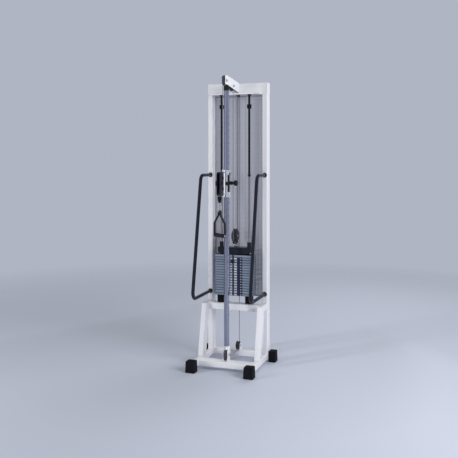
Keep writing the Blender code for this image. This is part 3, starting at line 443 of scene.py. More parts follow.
def piece(name, shells, look, body, replaces=(), crease=CREASE, uv=None):
    """One object from closed shells, a shell being (points, faces) or (points, faces, finish)."""
    looks, marks = [look], []
    for shell in shells:
        mine = shell[2] if len(shell) > 2 else look
        if mine not in looks:
            looks.append(mine)
        marks += [looks.index(mine)] * len(shell[1])
    points, faces = joined(shells)
    mesh = bpy.data.meshes.new(name)
    mesh.from_pydata(points, [], faces)
    for each in looks:
        mesh.materials.append(FINISHES[each])
    mesh.polygons.foreach_set("material_index", marks)
    face_outwards(mesh)
    if uv is not None:
        layer = mesh.uv_layers.new(name="run")
        corners = np.empty(len(mesh.loops), np.int32)
        mesh.loops.foreach_get("vertex_index", corners)
        layer.data.foreach_set("uv", uv[corners].astype(np.float32).ravel())
    mesh.shade_smooth()
    mesh.set_sharp_from_angle(angle=math.radians(crease))
    made = bpy.data.objects.new(name, mesh)
    bpy.context.scene.collection.objects.link(made)
    if body:
        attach(made, body)
    if replaces:
        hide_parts(*replaces)
    return made


def rounded(half_a, half_b, radius, steps=6):
    """Outline of a rectangle with round corners: four quarter circles about the corners of a smaller one."""
    corner = np.repeat(np.array(((1, 1), (-1, 1), (-1, -1), (1, -1)), float), steps + 1, axis=0)
    turn = (np.repeat(np.arange(4), steps + 1) + np.tile(np.arange(steps + 1) / steps, 4)) * math.pi / 2
    shift = np.array((half_a - radius, half_b - radius))
    return corner * shift + radius * np.stack([np.cos(turn), np.sin(turn)], -1)


def softened(corners, radii, steps=5):
    """An outline whose corners are arcs: each arc's centre lies on the bisector, radius / sin(half) away."""
    corners = np.array(corners, float)
    radii = np.broadcast_to(np.array(radii, float), len(corners))
    a = np.roll(corners, 1, axis=0) - corners
    b = np.roll(corners, -1, axis=0) - corners
    a /= np.linalg.norm(a, axis=1)[:, None]
    b /= np.linalg.norm(b, axis=1)[:, None]
    half = np.arccos(np.clip((a * b).sum(1), -1, 1)) / 2
    middle = a + b
    middle /= np.linalg.norm(middle, axis=1)[:, None]
    centre = corners + middle * (radii / np.sin(half))[:, None]
    start = corners + a * (radii / np.tan(half))[:, None] - centre
    end = corners + b * (radii / np.tan(half))[:, None] - centre
    share = np.linspace(0, 1, steps)[None, :, None]
    turn = math.pi - 2 * half[:, None, None]
    arc = (np.sin((1 - share) * turn) * start[:, None] + np.sin(share * turn) * end[:, None]) / np.sin(turn)
    return (centre[:, None] + arc).reshape(-1, 2)


def inset(outline, gap):
    """An outline moved inwards: each point goes along the mean of its two edges' normals."""
    before = outline - np.roll(outline, 1, axis=0)
    after = np.roll(outline, -1, axis=0) - outline
    area = (outline[:, 0] * np.roll(outline[:, 1], -1) - np.roll(outline[:, 0], -1) * outline[:, 1]).sum()
    normal = sum(
        np.stack([-e[:, 1], e[:, 0]], -1) / np.linalg.norm(e, axis=1)[:, None] for e in (before, after)
    )
    normal /= np.linalg.norm(normal, axis=1)[:, None]
    return outline + normal * gap * np.sign(area)


def solid(outline, low, high, axis, edge=0.001, steps=3):
    """An outline carried from low to high along an axis, its rims rounded by a quarter circle."""
    turn = np.linspace(0, math.pi / 2, steps + 1)
    gaps = edge * (1 - np.sin(turn))
    rise = edge * (1 - np.cos(turn))
    layers = [(gap, low + up) for gap, up in zip(gaps, rise)]
    layers += [(gap, high - up) for gap, up in zip(gaps[::-1], rise[::-1])]
    others = [i for i in range(3) if i != axis]
    points = np.zeros((len(layers), len(outline), 3))
    for row, (gap, place) in enumerate(layers):
        points[row][:, others] = inset(outline, gap) if gap else outline
        points[row][:, axis] = place
    return grid(points)


def block(low, high, axis=2, corner=0.002, edge=0.001, steps=4):
    """A box whose four long corners and whose rims are round."""
    low, high = np.array(low, float), np.array(high, float)
    others = [i for i in range(3) if i != axis]
    half = (high - low)[others] / 2
    outline = rounded(half[0], half[1], corner, steps) + ((low + high) / 2)[others]
    return solid(outline, low[axis], high[axis], axis, edge)


def tube(low, high, axis, corner=0.005, wall=0.003, steps=6):
    """A rectangular tube, open at both ends: an outer and an inner outline joined in a ring."""
    low, high = np.array(low, float), np.array(high, float)
    others = [i for i in range(3) if i != axis]
    half = (high - low)[others] / 2
    middle = ((low + high) / 2)[others]
    outer = rounded(half[0], half[1], corner, steps) + middle
    inner = rounded(half[0] - wall, half[1] - wall, corner - wall + 0.001, steps) + middle
    points = np.zeros((4, len(outer), 3))
    for row, (outline, place) in enumerate(((outer, low), (outer, high), (inner, high), (inner, low))):
        points[row][:, others] = outline
        points[row][:, axis] = place[axis]
    return grid(points, loop_u=True)


def turned(profile, centre, axis=2, sides=48, loop=False):
    """A profile of (radius, height) turned about an axis: x = r cos t, y = r sin t."""
    profile = np.array(profile, float)
    turn = np.linspace(0, 2 * math.pi, sides, endpoint=False)
    points = np.zeros((len(profile), sides, 3)) + np.array(centre, float)
    points[:, :, axis] += profile[:, 1][:, None]
    points[:, :, (axis + 1) % 3] += profile[:, 0][:, None] * np.cos(turn)
    points[:, :, (axis + 2) % 3] += profile[:, 0][:, None] * np.sin(turn)
    return grid(points, loop_u=loop)


def rod(radius, low, high, centre, axis=2, sides=48, edge=0.0008):
    """A round bar with rounded rims."""
    turn = np.linspace(0, math.pi / 2, 4)
    rim = np.stack([radius - edge + edge * np.sin(turn), low + edge - edge * np.cos(turn)], -1)
    other = np.stack([rim[::-1, 0], high - (rim[::-1, 1] - low)], -1)
    return turned(np.concatenate([rim, other]), centre, axis, sides)


def swept(path, outline, side=SIDE, loop=False, scale=None):
    """An outline of (across, up) carried along a path: point + across * side + up * (tangent x side)."""
    path = np.array(path, float)
    if loop:
        along = np.roll(path, -1, axis=0) - np.roll(path, 1, axis=0)
    else:
        along = np.gradient(path, axis=0)
    along /= np.linalg.norm(along, axis=1)[:, None]
    side = np.broadcast_to(np.array(side, float), along.shape)
    rise = np.cross(along, side)
    rise /= np.linalg.norm(rise, axis=1)[:, None]
    outline = np.array(outline, float)
    outline = np.broadcast_to(outline, (len(path), *outline.shape[-2:]))
    if scale is not None:
        outline = outline * np.array(scale, float)[:, None, None]
    points = path[:, None] + outline[:, :, :1] * side[:, None] + outline[:, :, 1:] * rise[:, None]
    return grid(points, loop_u=loop)


def circle(radius, sides=16):
    """An outline of a circle."""
    turn = np.linspace(0, 2 * math.pi, sides, endpoint=False)
    return radius * np.stack([np.cos(turn), np.sin(turn)], -1)


def spaced(path, step):
    """A path's points set again at equal steps of its length."""
    path = np.array(path, float)
    length = np.concatenate([[0], np.cumsum(np.linalg.norm(np.diff(path, axis=0), axis=1))])
    places = np.linspace(0, length[-1], max(2, int(round(length[-1] / step)) + 1))
    return np.stack([np.interp(places, length, path[:, i]) for i in range(path.shape[1])], -1)


def ring_of(outline, step):
    """A closed outline's points set again at equal steps."""
    return spaced(np.vstack([outline, outline[:1]]), step)[:-1]


def bent(corners, radius, step=0.012):
    """An open path of (y, z) corners with arcs, as in softened, with its straight parts kept plain."""
    corners = np.array(corners, float)
    arcs = softened(corners, radius, 14).reshape(len(corners), 14, 2)[1:-1].reshape(-1, 2)
    return spaced(np.concatenate([corners[:1], arcs, corners[-1:]]), step)


def bead(centre, half_a, half_b, axis, radius=0.0022):
    """A weld round a rectangular joint: a small circle carried round the outline, rippled as it goes."""
    outline = ring_of(rounded(half_a, half_b, 0.005), 0.0022)
    others = [i for i in range(3) if i != axis]
    path = np.zeros((len(outline), 3)) + np.array(centre, float)
    path[:, others] += outline
    ripple = 1 + 0.16 * np.sin(np.arange(len(path)) * 1.3)
    side = np.zeros(3)
    side[axis] = 1
    return swept(path, circle(radius, 8), side, loop=True, scale=ripple)


def bolt(centre, axis, sign, size=0.0075, washer=0.011, depth=0.006):
    """A hexagon head with chamfered corners on a washer."""
    disc = [(washer - 0.0005, 0), (washer, 0.0004), (washer, 0.0012), (washer - 0.0005, 0.0016)]
    head = [
        (size, 0.0014), (size, depth - 0.0012), (size * 0.86, depth), (size * 0.45, depth),
        (size * 0.42, depth - 0.0006),
    ]
    disc = [(r, h * sign) for r, h in disc]
    head = [(r, h * sign) for r, h in head]
    return [(*turned(disc, centre, axis, 28), "zinc"), (*turned(head, centre, axis, 6), "zinc")]


def bored(made, holes):
    """Drills holes, each a shell, through a piece, and keeps the result as its mesh."""
    mesh = bpy.data.meshes.new("drill")
    points, faces = joined(holes)
    mesh.from_pydata(points, [], faces)
    face_outwards(mesh)
    drill = bpy.data.objects.new("drill", mesh)
    bpy.context.scene.collection.objects.link(drill)
    cutter = made.modifiers.new("holes", "BOOLEAN")
    cutter.operation = "DIFFERENCE"
    cutter.solver = "EXACT"
    cutter.object = drill
    bpy.context.view_layer.update()
    done = bpy.data.meshes.new_from_object(made.evaluated_get(bpy.context.evaluated_depsgraph_get()))
    made.modifiers.clear()
    made.data = done
    done.shade_smooth()
    done.set_sharp_from_angle(angle=math.radians(CREASE))
    bpy.data.objects.remove(drill)
    return made


def lofted(outline, levels, axis=2):
    """An outline carried through levels of (gap, place): at each place it is moved inwards by the gap."""
    others = [i for i in range(3) if i != axis]
    points = np.zeros((len(levels), len(outline), 3))
    for row, (gap, place) in enumerate(levels):
        points[row][:, others] = inset(outline, gap) if gap else outline
        points[row][:, axis] = place
    return grid(points)


def build_tubes(corner):
    """The rectangular tubes of the frame, with their welds."""
    axes = {
        "side_beam_left": 1, "side_beam_right": 1, "front_beam": 0, "rear_beam": 0,
        "upright_left": 2, "upright_right": 2, "crossbeam": 0,
    }
    for node, axis in axes.items():
        low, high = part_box(node)
        piece(f"{node}_tube", [tube(low, high, axis, corner)], "white_paint", "frame", [node])
    beads = []
    cross_y, front_y = 0.120, -0.099
    cross_z, front_z = CROSS_TOP - STAY_TALL / 2, BASE_TOP - 0.0225
    for sign in (-1, 1):
        beads.append(bead((sign * TUBE_X, COLUMN_Y, BASE_TOP), 0.020, 0.040, 2))
        beads.append(bead((sign * TUBE_X, (LEG_FRONT + LEG_REAR) / 2, BASE_TOP), 0.020, 0.040, 2))
        beads.append(bead((sign * INNER, cross_y, cross_z), 0.040, 0.025, 0))
        beads.append(bead((sign * INNER, front_y, front_z), 0.040, 0.0225, 0))
        beads.append(bead((sign * TUBE_X, COLUMN_FRONT, cross_z), 0.020, 0.025, 1))
    piece("weld_beads", beads, "white_paint", "frame")


def build_legs():
    """Each leg leans back from its side beam and ends in a stay to the upright."""
    slope = (LEG_TOP_Y - LEG_FRONT) / (CROSS_TOP - BASE_TOP)
    foot, stay_low, stay_end = BASE_TOP + GAP, CROSS_TOP - STAY_TALL, COLUMN_FRONT - GAP
    corners = [
        (LEG_FRONT, foot), (LEG_REAR, foot), (LEG_REAR + slope * (stay_low - foot), stay_low),
        (stay_end, stay_low), (stay_end, CROSS_TOP), (LEG_TOP_Y, CROSS_TOP),
    ]
    outline = softened(corners, (0.006, 0.006, 0.012, 0.006, 0.006, 0.010), 6)
    for side, sign in (("left", -1), ("right", 1)):
        low, high = sorted((sign * INNER, sign * HALF))
        shell = solid(outline, low, high, 0, 0.0045, 5)
        piece(f"leg_{side}_shell", [shell], "white_paint", "frame", [f"leg_{side}"])


def build_feet():
    """Moulded rubber shoes: drafted sides, round rims and a groove above the sole."""
    for node in ("foot_front_left", "foot_front_right", "foot_rear_left", "foot_rear_right"):
        low, high = (np.array(corner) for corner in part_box(node))
        half = (high - low)[:2] / 2
        outline = rounded(half[0], half[1], 0.007, 6) + ((low + high) / 2)[:2]
        tall = high[2] - low[2]
        levels = [
            (0.0025, 0.0), (0.0008, 0.0008), (0.0, 0.003), (0.0, 0.0085), (0.0011, 0.0093), (0.0011, 0.0108),
        ]
        levels += [(0.0004, 0.0118), (0.0030, tall - 0.006)]
        turn = np.linspace(0, math.pi / 2, 6)[1:]
        levels += [(0.0030 + 0.006 * (1 - math.cos(t)), tall - 0.006 + 0.006 * math.sin(t)) for t in turn]
        piece(f"{node}_shoe", [lofted(outline, levels)], "black_rubber", "frame", [node])


def build_top_beam():
    """The channel across the uprights, its end plates, and the plate that holds the guide rods."""
    wall = 0.003
    half_y = (COLUMN_BACK - COLUMN_FRONT) / 2
    beam_z = (BEAM_LOW + BEAM_TOP) / 2
    outer = rounded(half_y, (BEAM_TOP - BEAM_LOW) / 2, 0.005) + np.array((COLUMN_Y, beam_z))
    top = outer[outer[:, 1] > beam_z]
    top = top[np.argsort(-np.arctan2(top[:, 1] - beam_z, top[:, 0] - COLUMN_Y))]
    inner = COLUMN_Y + (top[:, 0] - COLUMN_Y) * (half_y - wall) / half_y
    under = np.stack([inner, top[:, 1] - wall], -1)
    channel = np.concatenate([
        [(COLUMN_FRONT, BEAM_LOW)], top, [(COLUMN_BACK, BEAM_LOW), (COLUMN_BACK - wall, BEAM_LOW)],
        under[::-1], [(COLUMN_FRONT + wall, BEAM_LOW)],
    ])
    rows = np.zeros((2, len(channel), 3))
    rows[:, :, 0] = np.array((-HALF + 0.001, HALF - 0.001))[:, None]
    rows[:, :, 1:] = channel
    shells = [grid(rows)]
    for sign in (-1, 1):
        low, high = sorted((sign * HALF, sign * (HALF - wall)))
        shells.append(solid(outer, low, high, 0, 0.0012))
    plate_front, plate_back, slot_front = 0.1145, 0.259, 0.172
    plate_low, plate_top = 2.107, BEAM_LOW + 0.0002
    ends = INNER - GAP
    for x0, x1, back in ((-ends, -0.016, plate_back), (0.016, ends, plate_back), (-0.017, 0.017, slot_front)):
        shells.append(block((x0, plate_front, plate_low), (x1, back, plate_top), 2, 0.002, 0.0008))
    piece("top_beam_channel", shells, "white_paint", "frame", ["top_beam"])


def build_bracket():
    """Two plates that carry the top pulleys over the mast, with axle bolts through them."""
    nose, back, top = -0.150, COLUMN_FRONT - GAP, 2.230
    corners = [
        (nose, 2.162), (MAST_Y - 0.010, 2.1595), (back, 2.125), (back, BEAM_TOP), (nose + 0.060, top),
        (nose + 0.004, top),
    ]
    outline = softened(corners, (0.010, 0.004, 0.001, 0.001, 0.012, 0.016), 7)
    axles = (hub("pulley_top_front"), hub("pulley_top_rear"))
    for side, sign in (("left", -1), ("right", 1)):
        low, high = sorted((sign * 0.012, sign * 0.017))
        shells = [solid(outline, low, high, 0, 0.0008, 3)]
        for y, z in axles:
            shells += bolt((sign * 0.017, y, z), 0, sign, 0.0082, 0.0115, 0.0065)
            if sign < 0:
                shells.append((*rod(AXLE, -0.0175, 0.0175, (0, y, z), 0, 20), "zinc"))
                ends = ((-0.0119, -0.0073), (0.0073, 0.0119))
                shells += [(*rod(0.0078, a, b, (0, y, z), 0, 24), "zinc") for a, b in ends]
        piece(
            f"bracket_plate_{side}_shell", shells, "white_paint", "frame", [f"bracket_plate_{side}"],
        )


def wheel(radius, wide, centre):
    """A grooved nylon wheel with a recessed web, and its bearing."""
    r, w = radius, wide / 2
    half = [
        (0.0076, w - 0.0002), (0.0115, w - 0.0002), (0.0122, w - 0.0010), (0.0134, w - 0.0028),
        (r - 0.0125, w - 0.0028), (r - 0.0112, w - 0.0012), (r - 0.0100, w), (r - 0.0007, w), (r, w - 0.0007),
        (r, w - 0.0018), (r - 0.0012, w - 0.0025), (r - 0.0038, 0.0031), (r - 0.0052, 0.0019),
    ]
    profile = [(a, -b) for a, b in half] + [(r - 0.0058, 0.0)] + half[::-1]
    shells = [turned(profile, centre, 0, 72, loop=True)]
    for reach, inner, outer in ((w - 0.0004, 0.0063, 0.0077), (w - 0.0010, 0.0050, 0.0064)):
        ring = [(inner, -reach), (outer, -reach), (outer, reach), (inner, reach)]
        shells.append((*turned(ring, centre, 0, 36, loop=True), "zinc"))
    return shells


def build_pulleys():
    """All eight wheels, each on its own body."""
    for node, (body, radius, wide, y, z) in PULLEYS.items():
        piece(
            f"{node}_wheel", wheel(radius, wide, (0, y, z)), "pulley_nylon", body, [node],
            crease=40,
        )


def cheek_pair(y, half_y, low, high, inner, thick, crown):
    """Two cheeks beside a wheel, with round shoulders."""
    corners = [(y - half_y, low), (y + half_y, low), (y + half_y, high), (y - half_y, high)]
    outline = softened(corners, (0.001, 0.001, crown, crown), 9)
    return [solid(outline, *sorted((sign * inner, sign * (inner + thick))), 0, 0.0008, 3) for sign in (-1, 1)]


def axle_and_heads(y, z, reach, seat, head):
    """A zinc axle across a wheel, and a bolt head outside each cheek, sized as bolt takes it."""
    shells = [(*rod(AXLE, -reach, reach, (0, y, z), 0, 20), "zinc")]
    for sign in (-1, 1):
        shells += bolt((sign * seat, y, z), 0, sign, *head)
    return shells


def build_brackets():
    """The mast's shoe over the front wheel, the rear wheel's bracket and the crown wheel's bracket."""
    seat = 0.158
    y, z = hub("pulley_base_front")
    shoe = cheek_pair(y, 0.029, BASE_TOP + GAP, seat - 0.0045, 0.014, 0.005, 0.016)
    shoe.append(rod(0.029, seat - 0.0045, seat - GAP, (0, MAST_Y, 0), 2, 56, 0.0012))
    spigot = [
        (0.0255, seat - 0.001), (0.0255, seat + 0.003), (0.0245, seat + 0.018), (0.0215, seat + 0.0205),
        (0.0203, seat + 0.0205), (0.0203, seat - 0.001),
    ]
    shoe.append(turned(spigot, (0, MAST_Y, 0), 2, 56, loop=True))
    shoe += axle_and_heads(y, z, 0.0195, 0.019, (0.0082, 0.0118, 0.0068))
    piece("mast_shoe_shell", shoe, "white_paint", "frame", ["mast_shoe"])
    rear = cheek_pair(0.2203, 0.0247, BASE_TOP + GAP, 0.1265, 0.013, 0.003, 0.012)
    rear += axle_and_heads(*hub("pulley_base_rear"), 0.0165, 0.016, (0.0068, 0.0095, 0.0055))
    piece("base_rear_cheeks", rear, "white_paint", "frame", ["base_rear_bracket"])
    y, z = hub("pulley_crown")
    roof_low, roof = 2.1935, 2.1965
    crown = cheek_pair(y, 0.015, 2.106, roof, 0.009, 0.003, 0.008)
    crown.append(block((-0.0115, y - 0.015, roof_low), (0.0115, y + 0.015, roof), 2, 0.001, 0.0005))
    crown += axle_and_heads(y, z, 0.0125, 0.012, (0.0068, 0.0095, 0.0055))
    piece("crown_bracket_shell", crown, "black_paint", "frame", ["crown_bracket"])


def build_mast(pitch, bore):
    """The plated tube with its row of holes for the pull pin, and the cap between it and the bracket."""
    inner = MAST_RADIUS - 0.0025
    low, high = MAST_LOW[2], MAST_HIGH[2]
    levels = np.linspace(low, high, 40)
    outside = np.stack([np.full_like(levels, MAST_RADIUS), levels], -1)
    inside = np.array(((inner, high), (inner, low)))
    shell = turned(np.concatenate([outside, inside]), (0, MAST_Y, 0), 2, 64, loop=True)
    made = piece("mast_tube", [shell], "chrome", "frame", ["mast"])
    lowest, highest = 0.420, 1.980
    count = int((highest - lowest) / pitch) + 1
    heights = CARRIAGE_Z + pitch * (np.arange(count) - round((CARRIAGE_Z - lowest) / pitch))
    bored(made, [rod(bore, 0.010, 0.030, (0, MAST_Y, z), 0, 16, 0.0) for z in heights])
    cap = [
        (0.0202, 2.118), (0.0216, 2.1185), (0.0222, 2.121), (0.0222, 2.1500), (0.0210, 2.1543),
        (0.004, 2.1543), (0.004, 2.1503), (0.0202, 2.1503),
    ]
    shells = [turned(cap, (0, MAST_Y, 0), 2, 56, loop=True)]
    shells.append(block((-0.0117, MAST_Y - 0.004, 2.153), (0.0117, MAST_Y + 0.016, 2.185), 2, 0.002, 0.001))
    piece("mast_cap", shells, "black_plastic", "frame", ["mast_head"])


def build_guides():
    """Guide rods, their rubber stops, lock collars and ribbed buffers."""
    for side, sign in (("left", -1), ("right", 1)):
        centre = (sign * ROD_X, ROD_Y, 0)
        rail = [rod(ROD_RADIUS, CROSS_TOP + GAP, 2.107 - GAP, centre, 2, 40, 0.0015)]
        ring = [
            (0.0085, -0.0085), (0.0112, -0.0080), (0.0122, -0.0055), (0.0122, 0.0055), (0.0112, 0.0080),
            (0.0085, 0.0085),
        ]
        ring = [(r, ROD_JOINT + h) for r, h in ring]
        rail.append((*turned(ring, centre, 2, 40, loop=True), "black_plastic"))
        piece(f"guide_rod_{side}_bar", rail, "guide_chrome", "frame", [f"guide_rod_{side}"])
        bore = ROD_RADIUS + GAP
        stop = [
            (bore, 1.993), (0.0125, 1.9932), (0.0150, 1.9955), (0.0168, 2.001), (0.0178, 2.008),
            (0.0180, 2.018), (0.0180, 2.0245), (0.0172, 2.0268), (bore, 2.027),
        ]
        lock = [
            (bore, 2.094), (0.0132, 2.0942), (0.0140, 2.0955), (0.0140, 2.1058), (0.0134, 2.1068),
            (bore, 2.1068),
        ]
        shells = [
            turned(stop, centre, 2, 40, loop=True), (*turned(lock, centre, 2, 40, loop=True), "black_paint"),
        ]
        name = f"rod_stop_{side}"
        piece(f"{name}_bush", shells, "black_rubber", "frame", [name])
        z = np.linspace(CROSS_TOP + 2 * GAP, STACK_LOW - 2 * GAP, 46)
        share = (z - z[0]) / (z[-1] - z[0])
        waves = 4.5
        radius = 0.0328 + 0.0012 * np.sin(share * 2 * math.pi * waves) - 0.0026 * np.abs(share * 2 - 1) ** 14
        ribs = np.concatenate([np.stack([radius, z], -1), [(bore, z[-1]), (bore, z[0])]])
        piece(
            f"buffer_{side}_ribbed", [turned(ribs, centre, 2, 44, loop=True)], "black_rubber", "frame",
            [f"buffer_{side}"],
        )


def build_plates():
    """Sixteen plates in two bodies, bored for pin and rods. All but the top one have labels and a dark film
    of painted shadow where the mast's shadow falls.
    """
    outline = rounded(PLATE_HALF, 0.055, 0.004, 5) + np.array((0, ROD_Y))
    bodies = (("weight_plates_resting", "frame", 0, 13), ("weight_plates_lifted", "stack", 13, PLATES))
    for node, body, first, last in bodies:
        shells, film, rims = [], [], []
        for i in range(first, last):
            low = STACK_LOW + i * PLATE_PITCH
            shells.append(solid(outline, low + 0.0004, low + PLATE_PITCH - 0.0004, 2, 0.0018, 3))
            middle = low + PLATE_PITCH / 2
            for x, half_x, half_z, proud, look in LABELS_AND_PAINTED_SHADOW if i < PLATES - 1 else ():
                face = rounded(half_x, half_z, 0.0012, 3) + np.array((x, middle))
                film.append((*solid(face, PLATE_FRONT - proud, PLATE_FRONT + 0.0006, 1, 0.0001, 1), look))
            ring = [
                (0.0052, -0.0012), (0.0074, -0.0012), (0.0078, -0.0008), (0.0078, 0.0004), (0.0052, 0.0004),
            ]
            rims.append((*turned(ring, (0, PLATE_FRONT, middle), 1, 24, loop=True), "black_plastic"))
        made = piece(f"{node}_steel", shells, "weight_steel", body, [node])
        low, high = STACK_LOW + first * PLATE_PITCH - 0.01, STACK_LOW + last * PLATE_PITCH + 0.01
        bores = ((-ROD_X, 0.0115), (0, 0.0130), (ROD_X, 0.0115))
        holes = [rod(r, low, high, (x, ROD_Y, 0), 2, 28, 0.0) for x, r in bores]
        middles = STACK_LOW + (np.arange(first, last) + 0.5) * PLATE_PITCH
        holes += [rod(0.0052, PLATE_FRONT - 0.01, ROD_Y, (0, 0, z), 1, 14, 0.0) for z in middles]
        bored(made, holes)
        piece(f"{node}_labels_and_painted_shadow", film, "label_film", body)
        piece(f"{node}_bushes", rims, "black_plastic", body)


def build_lifting():
    """Head plate with its collars, yoke and stud, and the selector pin."""
    low, high = (np.array(corner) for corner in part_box("head_plate"))
    wide, lift = high[0], low[2] + HEAD_TAPER[1]
    foot, top = wide - HEAD_TAPER[0], 0.905
    corners = [(-foot, low[2]), (foot, low[2]), (wide, lift), (wide, top), (-wide, top), (-wide, lift)]
    shells = [
        solid(
            softened(corners, (0.012, 0.012, 0.006, 0.006, 0.006, 0.006), 5), low[1], high[1], 1, 0.0035, 5,
        ),
    ]
    for sign in (-1, 1):
        collar = [
            (0.0098, 0.9045), (0.0172, 0.9045), (0.0170, 0.909), (0.0160, 0.911), (0.0160, 0.938),
            (0.0168, 0.940), (0.0168, 0.9435), (0.0158, 0.945), (0.0098, 0.945),
        ]
        shells.append(turned(collar, (sign * ROD_X, ROD_Y, 0), 2, 44, loop=True))
    piece("head_plate_casting", shells, "black_paint", "stack", ["head_plate"])
    path = bent([(-0.0155, 1.000), (-0.0155, 0.9325), (0.0155, 0.9325), (0.0155, 1.000)], 0.0060, 0.002)
    path = np.stack([path[:, 0], np.full(len(path), ROD_Y), path[:, 1]], -1)
    yoke = [swept(path, rounded(0.0150, 0.0025, 0.0010, 3), (0, 1, 0))]
    yoke.append((*rod(0.0060, 0.9053, 0.934, (0, ROD_Y, 0), 2, 28, 0.0005), "zinc"))
    nut = [(0.0110, 0.9053), (0.0115, 0.9060), (0.0115, 0.9130), (0.0100, 0.9142)]
    yoke.append((*turned(nut, (0, ROD_Y, 0), 2, 6), "zinc"))
    y, z = hub("pulley_float")
    disc = [(0.0060, 0.0131), (0.0455, 0.0131), (0.0468, 0.0140), (0.0468, 0.0160), (0.0455, 0.0176)]
    disc += [(0.0395, 0.0178), (0.0375, 0.0164), (0.0150, 0.0164), (0.0130, 0.0180), (0.0060, 0.0180)]
    for sign in (-1, 1):
        profile = [(r, x * sign) for r, x in disc]
        yoke.append(turned(profile, (0, y, z), 0, 72, loop=True))
    yoke += axle_and_heads(y, z, 0.0185, 0.018, (0.0072, 0.0105, 0.0058))
    piece("pulley_yoke_strap", yoke, "black_paint", "stack", ["pulley_yoke"])
    back = PLATE_FRONT - 0.0003
    turn = np.linspace(0, math.pi / 2, 8)
    dome = [(0.0150 * math.cos(t), back - 0.0150 - 0.0088 * math.sin(t)) for t in turn[:-1]]
    knob = [
        (0.0105, back - 0.0012), (0.0112, back - 0.006), (0.0140, back - 0.0095), (0.0150, back - 0.0125),
        *dome,
    ]
    pin = [turned(knob, (0, 0, PIN_Z), 1, 44)]
    pin.append((*rod(0.0040, back - 0.004, back + 0.062, (0, 0, PIN_Z), 1, 24), "zinc"))
    piece("selector_pin_knob", pin, "black_plastic", "selector", ["selector_pin"])


def build_carriage():
    """The plated sleeve with collars and lugs, a black band on it that is a painted reflection, its short
    knob, and the pull pin with its knob.
    """
    low, high = 1.310, 1.516
    turn = np.linspace(0, math.pi / 2, 5)
    collar = [(0.0330 - 0.0015 * (1 - math.sin(t)), low + 0.0015 * (1 - math.cos(t))) for t in turn]
    collar += [(0.0330, low + 0.0165), (0.0322, low + 0.0180), (0.0302, low + 0.0190), (0.0300, low + 0.0210)]
    other = [(r, high + low - z) for r, z in collar[::-1]]
    profile = [(0.0208, low), *collar, *other, (0.0208, high)]
    shells = [turned(profile, (0, MAST_Y, 0), 2, 72, loop=True)]
    nylon = [
        (0.0203, low - 0.0016), (0.0285, low - 0.0016), (0.0292, low - 0.0010), (0.0292, low + 0.001),
        (0.0203, low + 0.001),
    ]
    shells.append((*turned(nylon, (0, MAST_Y, 0), 2, 56, loop=True), "black_plastic"))
    nylon = [(r, high + low - z) for r, z in nylon]
    shells.append((*turned(nylon, (0, MAST_Y, 0), 2, 56, loop=True), "black_plastic"))
    lug = softened(
        [(-0.012, -0.177), (0.012, -0.177), (0.012, -0.099), (-0.012, -0.099)],
        (0.0115, 0.0115, 0.001, 0.001), 9,
    )
    for z0, z1 in ((1.4985, 1.5100), (1.3240, 1.3355)):
        shells.append(solid(lug, z0, z1, 2, 0.0008, 3))
    boss = [(0.0068, 0.0250), (0.0138, 0.0250), (0.0138, 0.0465), (0.0126, 0.0480), (0.0068, 0.0480)]
    shells.append((*turned(boss, (0, MAST_Y, CARRIAGE_Z), 0, 40, loop=True), "black_plastic"))
    made = piece("carriage_sleeve_shell", shells, "sleeve_chrome", "carriage", ["carriage_sleeve"])
    # Known fault: this drilling loses the lugs and nylon ends, and leaves the drills in their place
    drills = ((1.490, 1.520), (1.315, 1.345))
    bored(made, [rod(0.0078, z0, z1, (0, DROP_Y, 0), 2, 28, 0.0) for z0, z1 in drills])
    knob = [
        (0.0065, -0.1045), (0.0080, -0.109), (0.0125, -0.1110), (0.0142, -0.1140), (0.0145, -0.1185),
        (0.0125, -0.1225), (0.0060, -0.1240),
    ]
    knob = [(r, y - MAST_Y) for r, y in knob]
    slant = turned(knob, (0, 0, 0), 1, 36)
    angle = math.radians(24)
    x, y = slant[0][:, 0].copy(), slant[0][:, 1].copy()
    slant[0][:, 0] = x * math.cos(angle) - y * math.sin(angle)
    slant[0][:, 1] = MAST_Y + x * math.sin(angle) + y * math.cos(angle)
    slant[0][:, 2] += CARRIAGE_Z - 0.004
    piece("carriage_knob", [slant], "black_plastic", "carriage")
    # A black band on the sleeve's front right: a painted reflection, the dark band that the plated sleeve
    # shows there.
    turn = np.radians(np.linspace(34, 69, 14))
    across = np.stack([np.sin(turn), -np.cos(turn)], -1)
    arc = np.concatenate([0.0326 * across, 0.0292 * across[::-1]])
    reflection_band = solid(arc[::-1] + np.array((0, MAST_Y)), CARRIAGE_Z - 0.068, CARRIAGE_Z + 0.062, 2, 0.0005, 2)
    piece("carriage_painted_reflection", [reflection_band], "black_plastic", "carriage")
    centre = (0, MAST_Y, CARRIAGE_Z)
    shape = [
        (0.0050, 0.0490), (0.0085, 0.0492), (0.0092, 0.0505), (0.0092, 0.0560), (0.0120, 0.0590),
        (0.0175, 0.0615), (0.0203, 0.0650), (0.0210, 0.0700), (0.0210, 0.0780), (0.0200, 0.0835),
        (0.0170, 0.0868), (0.0110, 0.0880), (0.0020, 0.0880),
    ]
    shells = [turned(shape, centre, 0, 56)]
    shells.append((*rod(0.0060, 0.0208, 0.0560, centre, 0, 32, 0.0012), "zinc"))
    piece("pull_pin_knob", shells, "black_plastic", "puller", ["pull_pin"])


